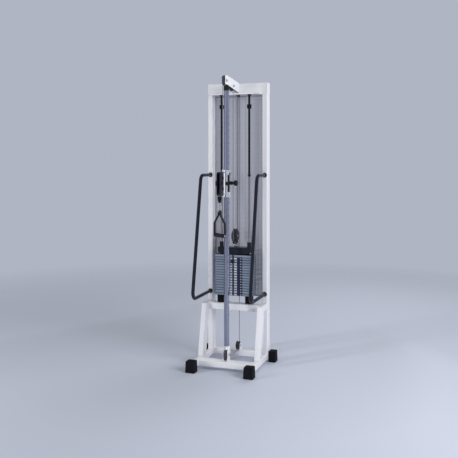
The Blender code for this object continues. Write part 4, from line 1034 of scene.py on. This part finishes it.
def build_block():
    """The swivel block: two cheeks, bridges, hollow pivots, axle bolts and the knob on its left."""
    corners = [(-0.262, 1.325), (-0.182, 1.325), (-0.182, 1.503), (-0.262, 1.503)]
    outline = softened(corners, (0.026, 0.003, 0.003, 0.026), 9)
    shells = [solid(outline, *sorted((sign * 0.009, sign * 0.014)), 0, 0.0012, 3) for sign in (-1, 1)]
    for z0, z1 in ((1.4945, 1.4982), (1.3358, 1.3395)):
        shells.append(block((-0.014, -0.186, z0), (0.014, -0.149, z1), 2, 0.003, 0.0006))
    for z0, z1 in ((1.4975, 1.5095), (1.3245, 1.3365)):  # pivots in the lugs
        ring = [
            (0.0045, z0), (0.0066, z0), (0.0070, z0 + 0.0004), (0.0070, z1 - 0.0004), (0.0066, z1),
            (0.0045, z1),
        ]
        shells.append((*turned(ring, (0, DROP_Y, 0), 2, 32, loop=True), "zinc"))
    for z in (hub("block_pulley_upper")[1], hub("block_pulley_lower")[1]):
        shells.append((*rod(AXLE, -0.0145, 0.0145, (0, BLOCK_Y, z), 0, 20), "zinc"))
        for sign in (-1, 1):
            head = [
                (0.0098, 0.0), (0.0102, 0.0006), (0.0102, 0.0036), (0.0088, 0.0046), (0.0042, 0.0046),
                (0.0036, 0.0026),
            ]
            head = [(r, h * sign) for r, h in head]
            shells.append((*turned(head, (sign * 0.014, BLOCK_Y, z), 0, 32), "black_plastic"))
    made = piece("block_frame_shell", shells, "black_paint", "block", ["block_frame"])
    # Known fault: this drilling also loses the upper pivot, the axles and the left screw heads
    bored(made, [rod(0.0045, 1.492, 1.512, (0, DROP_Y, 0), 2, 20, 0.0)])
    flutes = 9
    turn = np.linspace(0, 2 * math.pi, 90, endpoint=False)
    lobe = 1 - 0.07 * (0.5 + 0.5 * np.cos(turn * flutes)) ** 3
    profile = np.array(
        (
            (0.0100, 0.0), (0.0110, 0.0035), (0.0205, 0.0040), (0.0232, 0.0055), (0.0240, 0.0080),
            (0.0236, 0.0120), (0.0215, 0.0148), (0.0150, 0.0160), (0.0020, 0.0160),
        ),
    )
    points = np.zeros((len(profile), len(turn), 3))
    points[:, :, 0] = -0.0139 - profile[:, 1][:, None]
    points[:, :, 1] = -0.222 + profile[:, 0][:, None] * lobe * np.cos(turn)
    points[:, :, 2] = CARRIAGE_Z + profile[:, 0][:, None] * lobe * np.sin(turn)
    piece("block_knob_left", [grid(points)], "black_plastic", "block")


def in_handle(u, n, z):
    """Points of the handle: u along the grip, n square to its plane."""
    u, n, z = (np.array(value, float) for value in np.broadcast_arrays(u, n, z))
    flat = u[..., None] * GRIP_ALONG + n[..., None] * GRIP_ACROSS
    return np.array((0, HANDLE_Y, 0)) + flat + z[..., None] * UP


def build_handle():
    """Stopper, snap hook, webbing stirrup with its stitches, end cups and foam grip."""
    centre = (0, HANDLE_Y, 0)
    low, high = (np.array(corner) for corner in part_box("cable_stopper"))
    z = np.linspace(low[2] + 0.0002, high[2] - 0.0002, 26)
    share = (z - z[0]) / (z[-1] - z[0])
    radius = 0.0064 + 0.0096 * np.sin(np.clip(share * 1.12, 0, 1) * math.pi / 2) ** 0.8 - 0.0030 * share ** 12
    piece(
        "cable_stopper_ball", [turned(np.stack([radius, z], -1), centre, 2, 44)], "black_rubber", "handle",
        ["cable_stopper"],
    )
    low, high = (np.array(corner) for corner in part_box("spring_hook"))
    wire, hook_half = 0.0025, 0.0135
    half = (high[2] - low[2]) / 2 - wire
    middle = (high[2] + low[2]) / 2
    loop = ring_of(rounded(hook_half, half, 0.0130, 10), 0.0015)
    shells = [swept(in_handle(0, loop[:, 0], loop[:, 1] + middle), circle(wire, 14), GRIP_ALONG, loop=True)]
    gate = np.array(
        (
            (0.0026, -0.016), (0.0034, -0.0150), (0.0036, -0.010), (0.0036, 0.007), (0.0044, 0.0075),
            (0.0044, 0.0125), (0.0036, 0.0130), (0.0034, 0.0155), (0.0026, 0.0165),
        ),
    )
    shells.append(turned(gate, in_handle(0.0, hook_half, middle), 2, 28))
    piece("spring_hook_wire", shells, "sleeve_chrome", "handle", ["spring_hook"])
    side = [(0.0090, 1.2144), (0.0095, 1.184), (0.062, 1.124), (0.062, 1.024)]
    path = bent([(-u, z) for u, z in side[::-1]] + side, 0.0084, 0.0012)
    length = np.concatenate([[0], np.cumsum(np.linalg.norm(np.diff(path, axis=0), axis=1))])
    outline = rounded(0.0100, 0.0021, 0.0014, 3)
    narrow = 0.70 + 0.30 * np.minimum(1, np.abs(path[:, 0]) / 0.022)
    section = outline[None] * np.stack([narrow, np.ones(len(path))], -1)[:, None]
    section[:, :, 1] += 0.0025
    band = swept(in_handle(path[:, 0], 0.0, path[:, 1]), section, GRIP_ACROSS)
    across = np.broadcast_to(outline[None, :, 0], section.shape[:2])
    uv = np.stack([np.broadcast_to(length[:, None], across.shape), across], -1).reshape(-1, 2)
    piece("handle_strap_band", [band], "webbing", "stirrup", ["handle_strap"], crease=60, uv=uv)
    threads = []
    turn = np.linspace(0, math.pi, 5)
    for index in range(8, len(path) - 8, 4):
        u, zed = path[index]
        along = path[index + 1] - path[index]
        along /= np.linalg.norm(along)
        out = np.array((along[1], -along[0]))
        for edge in (-0.0072, 0.0072):
            stitch = np.linspace(-0.0016, 0.0016, 5)
            lift = 0.0004 * np.sin(turn) - 0.0001
            spot = np.array((u, zed)) + stitch[:, None] * along + out * lift[:, None]
            threads.append(
                swept(
                    in_handle(spot[:, 0], edge * narrow[index], spot[:, 1]), circle(0.00035, 6), GRIP_ACROSS,
                ),
            )
    piece("handle_strap_stitches", threads, "thread", "stirrup")
    keeper = rounded(0.0112, 0.0092, 0.0030, 5)
    keeper = swept(
        in_handle(keeper[:, 0], keeper[:, 1], 1.190), rounded(0.0060, 0.0010, 0.0008, 3), (0, 0, 1),
        loop=True,
    )
    piece("handle_strap_keeper", [keeper], "black_rubber", "stirrup")
    shells = []
    cup = [
        (0.004, 0.0544), (0.0140, 0.0546), (0.0152, 0.0556), (0.0152, 0.0588), (0.0140, 0.0602),
        (0.004, 0.0604),
    ]
    stud = [(0.0062, 0.0630), (0.0088, 0.0634), (0.0088, 0.0652), (0.0070, 0.0672), (0.0020, 0.0678)]
    for sign in (-1, 1):
        for profile, look in ((np.array(cup), "black_plastic"), (np.array(stud), "zinc")):
            sides = np.linspace(0, 2 * math.pi, 40, endpoint=False)
            points = in_handle(
                sign * profile[:, 1][:, None], profile[:, 0][:, None] * np.cos(sides),
                GRIP_Z + profile[:, 0][:, None] * np.sin(sides),
            )
            shells.append((*grid(points), look))
    piece("handle_cups", shells, "black_plastic", "stirrup")
    reach = 0.0538
    u = np.linspace(-reach, reach, 61)
    share = np.abs(u) / reach
    radius = 0.0150 - 0.0006 * np.cos(u * math.pi / reach * 8) ** 6 - 0.0014 * share ** 16
    sides = np.linspace(0, 2 * math.pi, 44, endpoint=False)
    points = in_handle(u[:, None], radius[:, None] * np.cos(sides), GRIP_Z + radius[:, None] * np.sin(sides))
    piece("handle_grip_foam", [grid(points)], "grip_foam", "grip", ["handle_grip"])


def belt(stops):
    """A taut line round circles. Each stop is (y, z, radius, sense); straight parts are common tangents:
    the course between two centres is turned by arcsin of the radii's difference over their distance."""
    stops = np.array(stops, float)
    first, last = stops[:-1], stops[1:]
    gap = last[:, :2] - first[:, :2]
    far = np.linalg.norm(gap, axis=1)
    course = np.arctan2(gap[:, 1], gap[:, 0]) - np.arcsin(
        (last[:, 3] * last[:, 2] - first[:, 3] * first[:, 2]) / far,
    )
    normal = np.stack([-np.sin(course), np.cos(course)], -1)
    leave = first[:, :2] - (first[:, 3] * first[:, 2])[:, None] * normal
    meet = last[:, :2] - (last[:, 3] * last[:, 2])[:, None] * normal
    points = [leave[:1]]
    for index in range(1, len(stops) - 1):
        y, z, radius, sense = stops[index]
        start = math.atan2(meet[index - 1][1] - z, meet[index - 1][0] - y)
        end = math.atan2(leave[index][1] - z, leave[index][0] - y)
        turn = start + sense * np.linspace(0, (end - start) * sense % (2 * math.pi), 40)
        points.append(np.stack([y + radius * np.cos(turn), z + radius * np.sin(turn)], -1))
    points.append(meet[-1:])
    return np.concatenate(points)


def cable(name, line, node, body, radius=0.0025):
    """Six strands twisted round the line: the section's radius waves six times round and turns."""
    path = spaced(line, 0.0026)
    length = np.arange(len(path)) * np.linalg.norm(path[1] - path[0])
    sides, lay = 12, 0.045
    turn = np.linspace(0, 2 * math.pi, sides, endpoint=False)[None] + (length * 2 * math.pi / lay)[:, None]
    lobe = radius * (1 - 0.10 * (np.arange(sides) % 2))
    section = np.stack([np.cos(turn), np.sin(turn)], -1) * lobe[None, :, None]
    points = np.stack([np.zeros(len(path)), path[:, 0], path[:, 1]], -1)
    groove = np.broadcast_to((np.arange(sides) % 2)[None], section.shape[:2])
    uv = np.stack([np.broadcast_to(length[:, None], section.shape[:2]), groove], -1).reshape(-1, 2)
    shell = swept(points, section)
    return piece(name, [shell], "cable_coat", body, [node], crease=80, uv=uv)


def build_cables():
    """One cable: from the handle over the top, round the floating wheel, down the back and up again."""
    fall, rise, lift = 0.081, 0.188, -0.1125
    top, crown, low, wide, narrow = 0.0375, 0.024, 0.0305, 0.0535, 0.0355
    drop_end, fall_end, rise_end, lift_end, hand_end = 2.178, 2.153, 2.106, 0.1245, 1.365
    block_end, float_end, carriage_end, stopper_end = 1.526, 1.006, 1.324, 1.3232
    over = [
        (fall, fall_end, 0, 0), (*hub("pulley_top_rear"), top, 1), (*hub("pulley_top_front"), top, 1),
        (DROP_Y, drop_end, 0, 0),
    ]
    cable("cable_top_run", belt(over), "cable_top", "frame")
    under = [(rise, float_end, 0, 0), (*hub("pulley_float"), wide, -1), (fall, float_end, 0, 0)]
    cable("cable_float_run", belt(under), "cable_float", "stack")
    behind = [
        (lift, lift_end, 0, 0), (*hub("pulley_base_front"), top, 1), (*hub("pulley_base_rear"), low, 1),
        (*hub("pulley_crown"), crown, 1), (rise, rise_end, 0, 0),
    ]
    cable("cable_back_run", belt(behind), "cable_back", "frame")
    through = [
        (DROP_Y, block_end, 0, 0), (*hub("block_pulley_upper"), narrow, -1),
        (*hub("block_pulley_lower"), narrow, 1), (HANDLE_Y, hand_end, 0, 0),
    ]
    cable("cable_block_run", belt(through), "cable_block", "block")
    straights = (
        ("cable_drop", DROP_Y, drop_end, block_end, "frame", "carriage"),
        ("cable_fall", fall, fall_end, float_end, "frame", "stack"),
        ("cable_rise", rise, rise_end, float_end, "frame", "stack"),
        ("cable_lift", lift, lift_end, carriage_end, "frame", "carriage"),
        ("cable_hand", HANDLE_Y, hand_end, stopper_end, "block", "handle"),
    )
    for node, y, fixed, moving, holder, mover in straights:
        made = cable(f"{node}_run", np.array(((y, fixed), (y, moving))), node, None)
        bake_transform(made)


def build_bars():
    """Grab bars with their flanges and collars."""
    back = COLUMN_FRONT - GAP
    hidden = back - 0.002
    upper, lower = BAR_ENDS
    line = bent([(hidden, upper), (-0.028, upper), (-0.205, lower), (hidden, lower)], 0.050, 0.010)
    flange = [(0.0130, -0.0060), (0.0178, -0.0060), (0.0190, -0.0048), (0.0190, 0.0), (0.0130, 0.0)]
    collar = [
        (0.0129, -0.0230), (0.0142, -0.0225), (0.0148, -0.0210), (0.0148, -0.0058), (0.0129, -0.0058),
    ]
    for side, sign in (("left", -1), ("right", 1)):
        x = sign * TUBE_X
        path = np.stack([np.full(len(line), x), line[:, 0], line[:, 1]], -1)
        shells = [swept(path, circle(0.0130, 32))]
        for z in BAR_ENDS:
            shells += [turned(ring, (x, back, z), 1, 44, loop=True) for ring in (flange, collar)]
        piece(f"grab_bar_{side}_tube", shells, "black_paint", "frame", [f"grab_bar_{side}"])


def build_panel(wide, tall, pitch_x, pitch_z):
    """A sheet with rows of round-ended slots. Every slot is a ring of ten points inside a ring of ten
    on its cell's border; the cells repeat across and up, and walls join the front sheet to the back one."""
    low, high = (np.array(corner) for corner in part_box("back_panel"))
    margin = 0.012
    count_x = int((high[0] - low[0] - 2 * margin) / pitch_x)
    count_z = int((high[2] - low[2] - 2 * margin) / pitch_z)
    step_x = (high[0] - low[0] - 2 * margin) / count_x
    step_z = (high[2] - low[2] - 2 * margin) / count_z
    bow = (wide - tall) / 2
    turn = np.radians((-90, -45, 0, 45, 90))
    right = np.stack([bow + tall / 2 * np.cos(turn), tall / 2 * np.sin(turn)], -1)
    slot = np.concatenate([right, -right])
    a, b = step_x / 2, step_z / 2
    border = np.array(((bow, -b), (a, -b), (a, 0), (a, b), (bow, b)))
    border = np.concatenate([border, -border])
    ring = len(slot)
    cell = np.concatenate([slot, border])
    around = np.arange(ring)
    after = (around + 1) % ring
    front = np.stack([around, after, after + ring, around + ring], -1)
    middle_x = low[0] + margin + (np.arange(count_x) + 0.5) * step_x
    middle_z = low[2] + margin + (np.arange(count_z) + 0.5) * step_z
    centres = np.stack(np.meshgrid(middle_x, middle_z), -1).reshape(-1, 1, 2)
    flat = centres + cell[None]
    size = 2 * ring
    near = np.insert(flat, 1, low[1], axis=2)
    far = np.insert(flat, 1, high[1], axis=2)
    points = np.stack([near, far], 1).reshape(-1, 3)
    faces = [front, front[:, ::-1] + size, np.stack([around, around + size, after + size, after], -1)]
    faces = np.concatenate(faces)
    faces = (faces[None] + (np.arange(len(centres)) * size * 2)[:, None, None]).reshape(-1, 4)
    half = len(centres) // count_x // 2 * count_x
    for name, first, last in (("lower", 0, half), ("upper", half, len(centres))):
        part = points[first * size * 2:last * size * 2]
        sheet = (part, faces[:(last - first) * len(front) * 3].tolist())
        made = piece(
            f"back_panel_sheet_{name}", [sheet], "grey_panel", "frame", ["back_panel"],
        )
        face_outwards(made.data, weld=0.00005)
        made.data.set_sharp_from_angle(angle=math.radians(CREASE))
    x0, x1, z0, z1 = low[0], high[0], low[2], high[2]
    fold, front, rear = low[1] - 0.010, low[1] - 0.0008, high[1] + 0.0006
    edges = (
        ((x0, fold, z0), (x0 + margin, rear, z1), 2), ((x1 - margin, fold, z0), (x1, rear, z1), 2),
        ((x0, front, z0), (x1, rear, z0 + margin), 0), ((x0, front, z1 - margin), (x1, rear, z1), 0),
    )
    rims = [block(start, end, axis, 0.0008, 0.0006, 2) for start, end, axis in edges]
    piece("back_panel_rims", rims, "grey_panel", "frame")


def build_stage(key_power, fill_power, room_light, backdrop):
    """A pale floor, soft lamps, cards that only reflections see, and the camera at the photo's place."""
    scene = bpy.context.scene
    scene.view_settings.view_transform = "Standard"
    floor = bpy.data.meshes.new("floor")
    turn = np.linspace(0, 2 * math.pi, 64, endpoint=False)
    reach = 14
    rim = np.stack([reach * np.cos(turn), reach * np.sin(turn), np.zeros(64)], -1)
    floor.from_pydata(rim.tolist(), [], [list(range(64))])
    ground = bpy.data.objects.new("floor", floor)
    scene.collection.objects.link(ground)
    pale = Finish("pale_floor", Base_Color=shade(backdrop, 1.3), Roughness=0.6)
    away = (pale.x * pale.x + pale.y * pale.y) ** 0.5
    clear = pale.node("ShaderNodeBsdfTransparent")
    fade = pale.node("ShaderNodeMixShader")
    pale.feed(fade.inputs[0], away.ramp(1.6, 5.5))
    pale.tree.links.new(pale.shader.outputs[0], fade.inputs[1])
    pale.tree.links.new(clear.outputs[0], fade.inputs[2])
    pale.tree.links.new(fade.outputs[0], pale.tree.nodes["Material Output"].inputs["Surface"])
    floor.materials.append(pale.material)
    world = bpy.data.worlds.new("studio")
    scene.world = world
    world.use_nodes = True
    tree = world.node_tree
    light = tree.nodes["Background"]
    path = tree.nodes.new("ShaderNodeLightPath")
    seen = path.outputs["Is Camera Ray"]
    for kind in ("Is Glossy Ray", "Is Transmission Ray"):
        either = tree.nodes.new("ShaderNodeMath")
        either.operation = "MAXIMUM"
        tree.links.new(seen, either.inputs[0])
        tree.links.new(path.outputs[kind], either.inputs[1])
        seen = either.outputs[0]
    tone = tree.nodes.new("ShaderNodeMix")
    tone.data_type = "RGBA"
    tone.inputs[6].default_value = (room_light, room_light, room_light, 1)
    tone.inputs[7].default_value = (*backdrop, 1)
    tree.links.new(seen, tone.inputs[0])
    tree.links.new(tone.outputs[2], light.inputs["Color"])
    light.inputs["Strength"].default_value = 1.0
    lamps = (
        ("key", (-3.4, -3.65, 1.9), (0.0, 0.05, 1.3), (0.45, 2.8), key_power),
        ("fill", (4.0, -1.9, 2.4), (0.0, 0.05, 1.2), (2.4, 2.4), fill_power),
        ("back", (1.2, 3.6, 3.0), (0.0, 0.10, 1.2), (2.4, 2.4), fill_power * 0.4),
    )
    for name, place, aim, size, power in lamps:
        lamp = bpy.data.lights.new(name, "AREA")
        lamp.shape = "RECTANGLE"
        lamp.size, lamp.size_y = size
        lamp.energy = power
        made = bpy.data.objects.new(name, lamp)
        made.location = place
        toward = np.array(aim) - np.array(place)
        flat = math.hypot(toward[0], toward[1])
        made.rotation_euler = (math.atan2(flat, -toward[2]), 0, math.atan2(-toward[0], toward[1]))
        made.visible_glossy = False
        scene.collection.objects.link(made)
    dark = Finish("card_black", Base_Color=(0.01, 0.01, 0.02), Roughness=0.9)
    pale = Finish(
        "card_white", Base_Color=(0, 0, 0), Emission_Color=(0.95, 0.96, 1.0), Emission_Strength=1.0,
    )
    cards = (
        ("left_black", (-2.4, -0.2), (-1.1, 2.2), dark),
        ("right_black", (1.2, 1.4), (0.75, 1.75), dark),
        ("right_white", (1.75, 0.75), (1.25, 1.35), pale),
        ("left_white", (-2.65, -1.50), (-1.85, -2.45), pale),
    )
    foot, head = 0.1, 3.4
    for name, (x0, y0), (x1, y1), finish in cards:
        mesh = bpy.data.meshes.new(f"card_{name}")
        points = [(x0, y0, foot), (x1, y1, foot), (x1, y1, head), (x0, y0, head)]
        mesh.from_pydata(points, [], [(0, 1, 2, 3)])
        mesh.materials.append(finish.material)
        flag = bpy.data.objects.new(f"card_{name}", mesh)
        scene.collection.objects.link(flag)
        flag.visible_camera = False
        flag.visible_diffuse = False
        flag.visible_shadow = False
        flag.visible_transmission = False
    camera = bpy.data.cameras.new("photo_camera")
    camera.lens = 54.04
    camera.sensor_width = 36.0
    camera.shift_y = -0.153
    eye = bpy.data.objects.new("photo_camera", camera)
    eye.location = (1.7277, -5.0107, 1.5995)
    eye.rotation_euler = (math.radians(90), 0, math.radians(19.09))
    scene.collection.objects.link(eye)
    scene.camera = eye


def dress_nodes():
    """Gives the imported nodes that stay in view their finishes."""
    other = {"cable_coat": "zinc", "webbing": "black_plastic"}
    for part in frame["record"]["subparts"]:
        node = frame["nodes"][part["node"]]
        look = FINISHES[other.get(part["material_slot"], part["material_slot"])]
        for slot in node.material_slots:
            slot.material = look


class MachineFrame(bpy.types.PropertyGroup):
    """Sizes and colours of the white frame and the panel."""

    paint: bpy.props.FloatVectorProperty(
        name="Paint", description="Powder coat of the frame", subtype="COLOR", default=(0.80, 0.81, 0.855),
    )
    panel: bpy.props.FloatVectorProperty(
        name="Panel", description="Paint of the perforated panel", subtype="COLOR",
        default=(0.42, 0.425, 0.485),
    )
    corner: bpy.props.FloatProperty(
        name="Tube corner", description="Outer corner radius of the tubes", default=0.005, min=0.0035,
        unit="LENGTH",
    )
    slot_wide: bpy.props.FloatProperty(
        name="Slot width", description="Length of a slot in the panel", default=0.0085, unit="LENGTH",
    )
    slot_tall: bpy.props.FloatProperty(
        name="Slot height", description="Height of a slot in the panel", default=0.0042, unit="LENGTH",
    )
    pitch_x: bpy.props.FloatProperty(
        name="Slot pitch across", description="Distance between slots in a row", default=0.0122,
        unit="LENGTH",
    )
    pitch_z: bpy.props.FloatProperty(
        name="Slot pitch up", description="Distance between rows of slots", default=0.0100, unit="LENGTH",
    )


class MachineMetal(bpy.types.PropertyGroup):
    """Sizes and colours of the mast, the rods and the carriage."""

    chrome: bpy.props.FloatVectorProperty(
        name="Chrome", description="Plating of the mast", subtype="COLOR", default=(0.375, 0.395, 0.505),
    )
    bright: bpy.props.FloatVectorProperty(
        name="Bright chrome", description="Plating of the sleeve and the hook", subtype="COLOR",
        default=(0.94, 0.94, 0.96),
    )
    hole_pitch: bpy.props.FloatProperty(
        name="Hole pitch", description="Distance between the mast's holes", default=0.050, unit="LENGTH",
    )
    hole_radius: bpy.props.FloatProperty(
        name="Hole radius", description="Radius of the mast's holes", default=0.0064, unit="LENGTH",
    )


class MachineDark(bpy.types.PropertyGroup):
    """Colours of the dark pieces and the plates."""

    gloss: bpy.props.FloatVectorProperty(
        name="Black paint", description="Grab bars and brackets", subtype="COLOR",
        default=(0.006, 0.007, 0.015),
    )
    plastic: bpy.props.FloatVectorProperty(
        name="Plastic", description="Knobs and caps", subtype="COLOR", default=(0.012, 0.012, 0.014),
    )
    nylon: bpy.props.FloatVectorProperty(
        name="Nylon", description="Pulley wheels", subtype="COLOR", default=(0.035, 0.040, 0.046),
    )
    rubber: bpy.props.FloatVectorProperty(
        name="Rubber", description="Feet, buffers and stops", subtype="COLOR", default=(0.006, 0.006, 0.008),
    )
    steel: bpy.props.FloatVectorProperty(
        name="Plates", description="Paint of the weight plates", subtype="COLOR",
        default=(0.235, 0.285, 0.375),
    )
    cord: bpy.props.FloatVectorProperty(
        name="Cable", description="Coated cable", subtype="COLOR", default=(0.24, 0.25, 0.29),
    )


class MachineStudio(bpy.types.PropertyGroup):
    """Light of the studio."""

    key_power: bpy.props.FloatProperty(name="Key light", description="Watts of the key lamp", default=115.0)
    fill_power: bpy.props.FloatProperty(
        name="Fill light", description="Watts of the fill lamp", default=165.0,
    )
    room_light: bpy.props.FloatProperty(
        name="Room light", description="Strength of the pale room", default=0.30,
    )
    backdrop: bpy.props.FloatVectorProperty(
        name="Backdrop", description="Pale tone of floor and room", subtype="COLOR",
        default=(0.43, 0.46, 0.545),
    )


class MACHINE_OT_finishes(bpy.types.Operator):
    """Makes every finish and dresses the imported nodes"""

    bl_idname = "machine.finishes"
    bl_label = "Finishes"

    def execute(self, context):
        scene = context.scene
        body, metal, dark = scene.machine_frame, scene.machine_metal, scene.machine_dark
        FINISHES.update({
            "white_paint": finish_paint(tuple(body.paint)),
            "grey_panel": finish_panel(tuple(body.panel)),
            "chrome": finish_chrome("chrome", tuple(metal.chrome), 0.16),
            "guide_chrome": finish_chrome(
                "guide_chrome", shade(tuple(metal.bright), 0.42), 0.07, upper=(0.035, 0.037, 0.045),
            ),
            "sleeve_chrome": finish_chrome("sleeve_chrome", tuple(metal.bright), 0.08, lengthways=False),
            "black_paint": finish_gloss(tuple(dark.gloss)),
            "black_plastic": finish_plastic("black_plastic", tuple(dark.plastic), 0.34),
            "pulley_nylon": finish_plastic("pulley_nylon", tuple(dark.nylon), 0.40, 500.0),
            "black_rubber": finish_rubber(tuple(dark.rubber)),
            "weight_steel": finish_weight(tuple(dark.steel)),
            "cable_coat": finish_cable(tuple(dark.cord)),
            "webbing": finish_webbing((0.010, 0.011, 0.015)),
            "thread": finish_plastic("thread", (0.030, 0.032, 0.040), 0.60, 1500.0),
            "grip_foam": finish_foam((0.010, 0.010, 0.013)),
            "label_film": finish_label((0.56, 0.59, 0.69)),
            # The near-black film on the plates is a painted shadow of the mast.
            "label_dark": finish_label((0.014, 0.018, 0.045), "label_dark"),
            "zinc": finish_zinc(),
        })
        dress_nodes()
        return {"FINISHED"}


class MACHINE_OT_frame(bpy.types.Operator):
    """Builds the tubes, legs, feet, top beam and grab bars"""

    bl_idname = "machine.frame"
    bl_label = "Frame"

    def execute(self, context):
        build_tubes(context.scene.machine_frame.corner)
        build_legs()
        build_feet()
        build_top_beam()
        build_bars()
        return {"FINISHED"}


class MACHINE_OT_panel(bpy.types.Operator):
    """Builds the perforated back panel"""

    bl_idname = "machine.panel"
    bl_label = "Back panel"

    def execute(self, context):
        sizes = context.scene.machine_frame
        build_panel(sizes.slot_wide, sizes.slot_tall, sizes.pitch_x, sizes.pitch_z)
        return {"FINISHED"}


class MACHINE_OT_wheels(bpy.types.Operator):
    """Builds the top bracket, the wheels and their brackets"""

    bl_idname = "machine.wheels"
    bl_label = "Wheels and brackets"

    def execute(self, context):
        build_bracket()
        build_pulleys()
        build_brackets()
        return {"FINISHED"}


class MACHINE_OT_mast(bpy.types.Operator):
    """Builds the mast and its cap"""

    bl_idname = "machine.mast"
    bl_label = "Mast"

    def execute(self, context):
        metal = context.scene.machine_metal
        build_mast(metal.hole_pitch, metal.hole_radius)
        return {"FINISHED"}


class MACHINE_OT_stack(bpy.types.Operator):
    """Builds the guide rods, the plates and what lifts them"""

    bl_idname = "machine.stack"
    bl_label = "Weight stack"

    def execute(self, context):
        build_guides()
        build_plates()
        build_lifting()
        return {"FINISHED"}


class MACHINE_OT_carriage(bpy.types.Operator):
    """Builds the sleeve, the pull pin and the swivel block"""

    bl_idname = "machine.carriage"
    bl_label = "Carriage and block"

    def execute(self, context):
        build_carriage()
        build_block()
        return {"FINISHED"}


class MACHINE_OT_handle(bpy.types.Operator):
    """Builds the stopper, the hook, the stirrup and its grip"""

    bl_idname = "machine.handle"
    bl_label = "Handle"

    def execute(self, context):
        build_handle()
        return {"FINISHED"}


class MACHINE_OT_cables(bpy.types.Operator):
    """Builds the nine runs of the cable"""

    bl_idname = "machine.cables"
    bl_label = "Cable"

    def execute(self, context):
        build_cables()
        return {"FINISHED"}


class MACHINE_OT_stage(bpy.types.Operator):
    """Builds the floor, the lamps, the cards and the camera"""

    bl_idname = "machine.stage"
    bl_label = "Studio"

    def execute(self, context):
        studio = context.scene.machine_studio
        build_stage(studio.key_power, studio.fill_power, studio.room_light, tuple(studio.backdrop))
        return {"FINISHED"}


class MACHINE_PT_panel(bpy.types.Panel):
    """Lists the machine's operators and sizes"""

    bl_idname = "MACHINE_PT_panel"
    bl_label = "Rehab cable machine"
    bl_space_type = "VIEW_3D"
    bl_region_type = "UI"
    bl_category = "Machine"

    def draw(self, context):
        layout = self.layout
        for operator in OPERATORS:
            layout.operator(operator.bl_idname)
        for group in GROUPS:
            values = getattr(context.scene, group)
            box = layout.box()
            for name in values.bl_rna.properties.keys():
                if name not in ("rna_type", "name"):
                    box.prop(values, name)


OPERATORS = (
    MACHINE_OT_stage, MACHINE_OT_finishes, MACHINE_OT_frame, MACHINE_OT_panel, MACHINE_OT_wheels,
    MACHINE_OT_mast, MACHINE_OT_stack, MACHINE_OT_carriage, MACHINE_OT_handle, MACHINE_OT_cables,
)
GROUPS = {
    "machine_frame": MachineFrame, "machine_metal": MachineMetal, "machine_dark": MachineDark,
    "machine_studio": MachineStudio,
}


def register():
    """Registers the classes and hangs each group of sizes on the scene."""
    for each in (*GROUPS.values(), *OPERATORS, MACHINE_PT_panel):
        bpy.utils.register_class(each)
    for name, group in GROUPS.items():
        setattr(bpy.types.Scene, name, bpy.props.PointerProperty(type=group))


def unregister():
    """Takes away what register added."""
    for name in GROUPS:
        delattr(bpy.types.Scene, name)
    for each in (MACHINE_PT_panel, *reversed(OPERATORS), *reversed(tuple(GROUPS.values()))):
        bpy.utils.unregister_class(each)


def main():
    """Builds the machine piece by piece."""
    register()
    for operator in OPERATORS:
        getattr(bpy.ops.machine, operator.bl_idname.split(".")[1])()


if __name__ == "__main__":
    main()
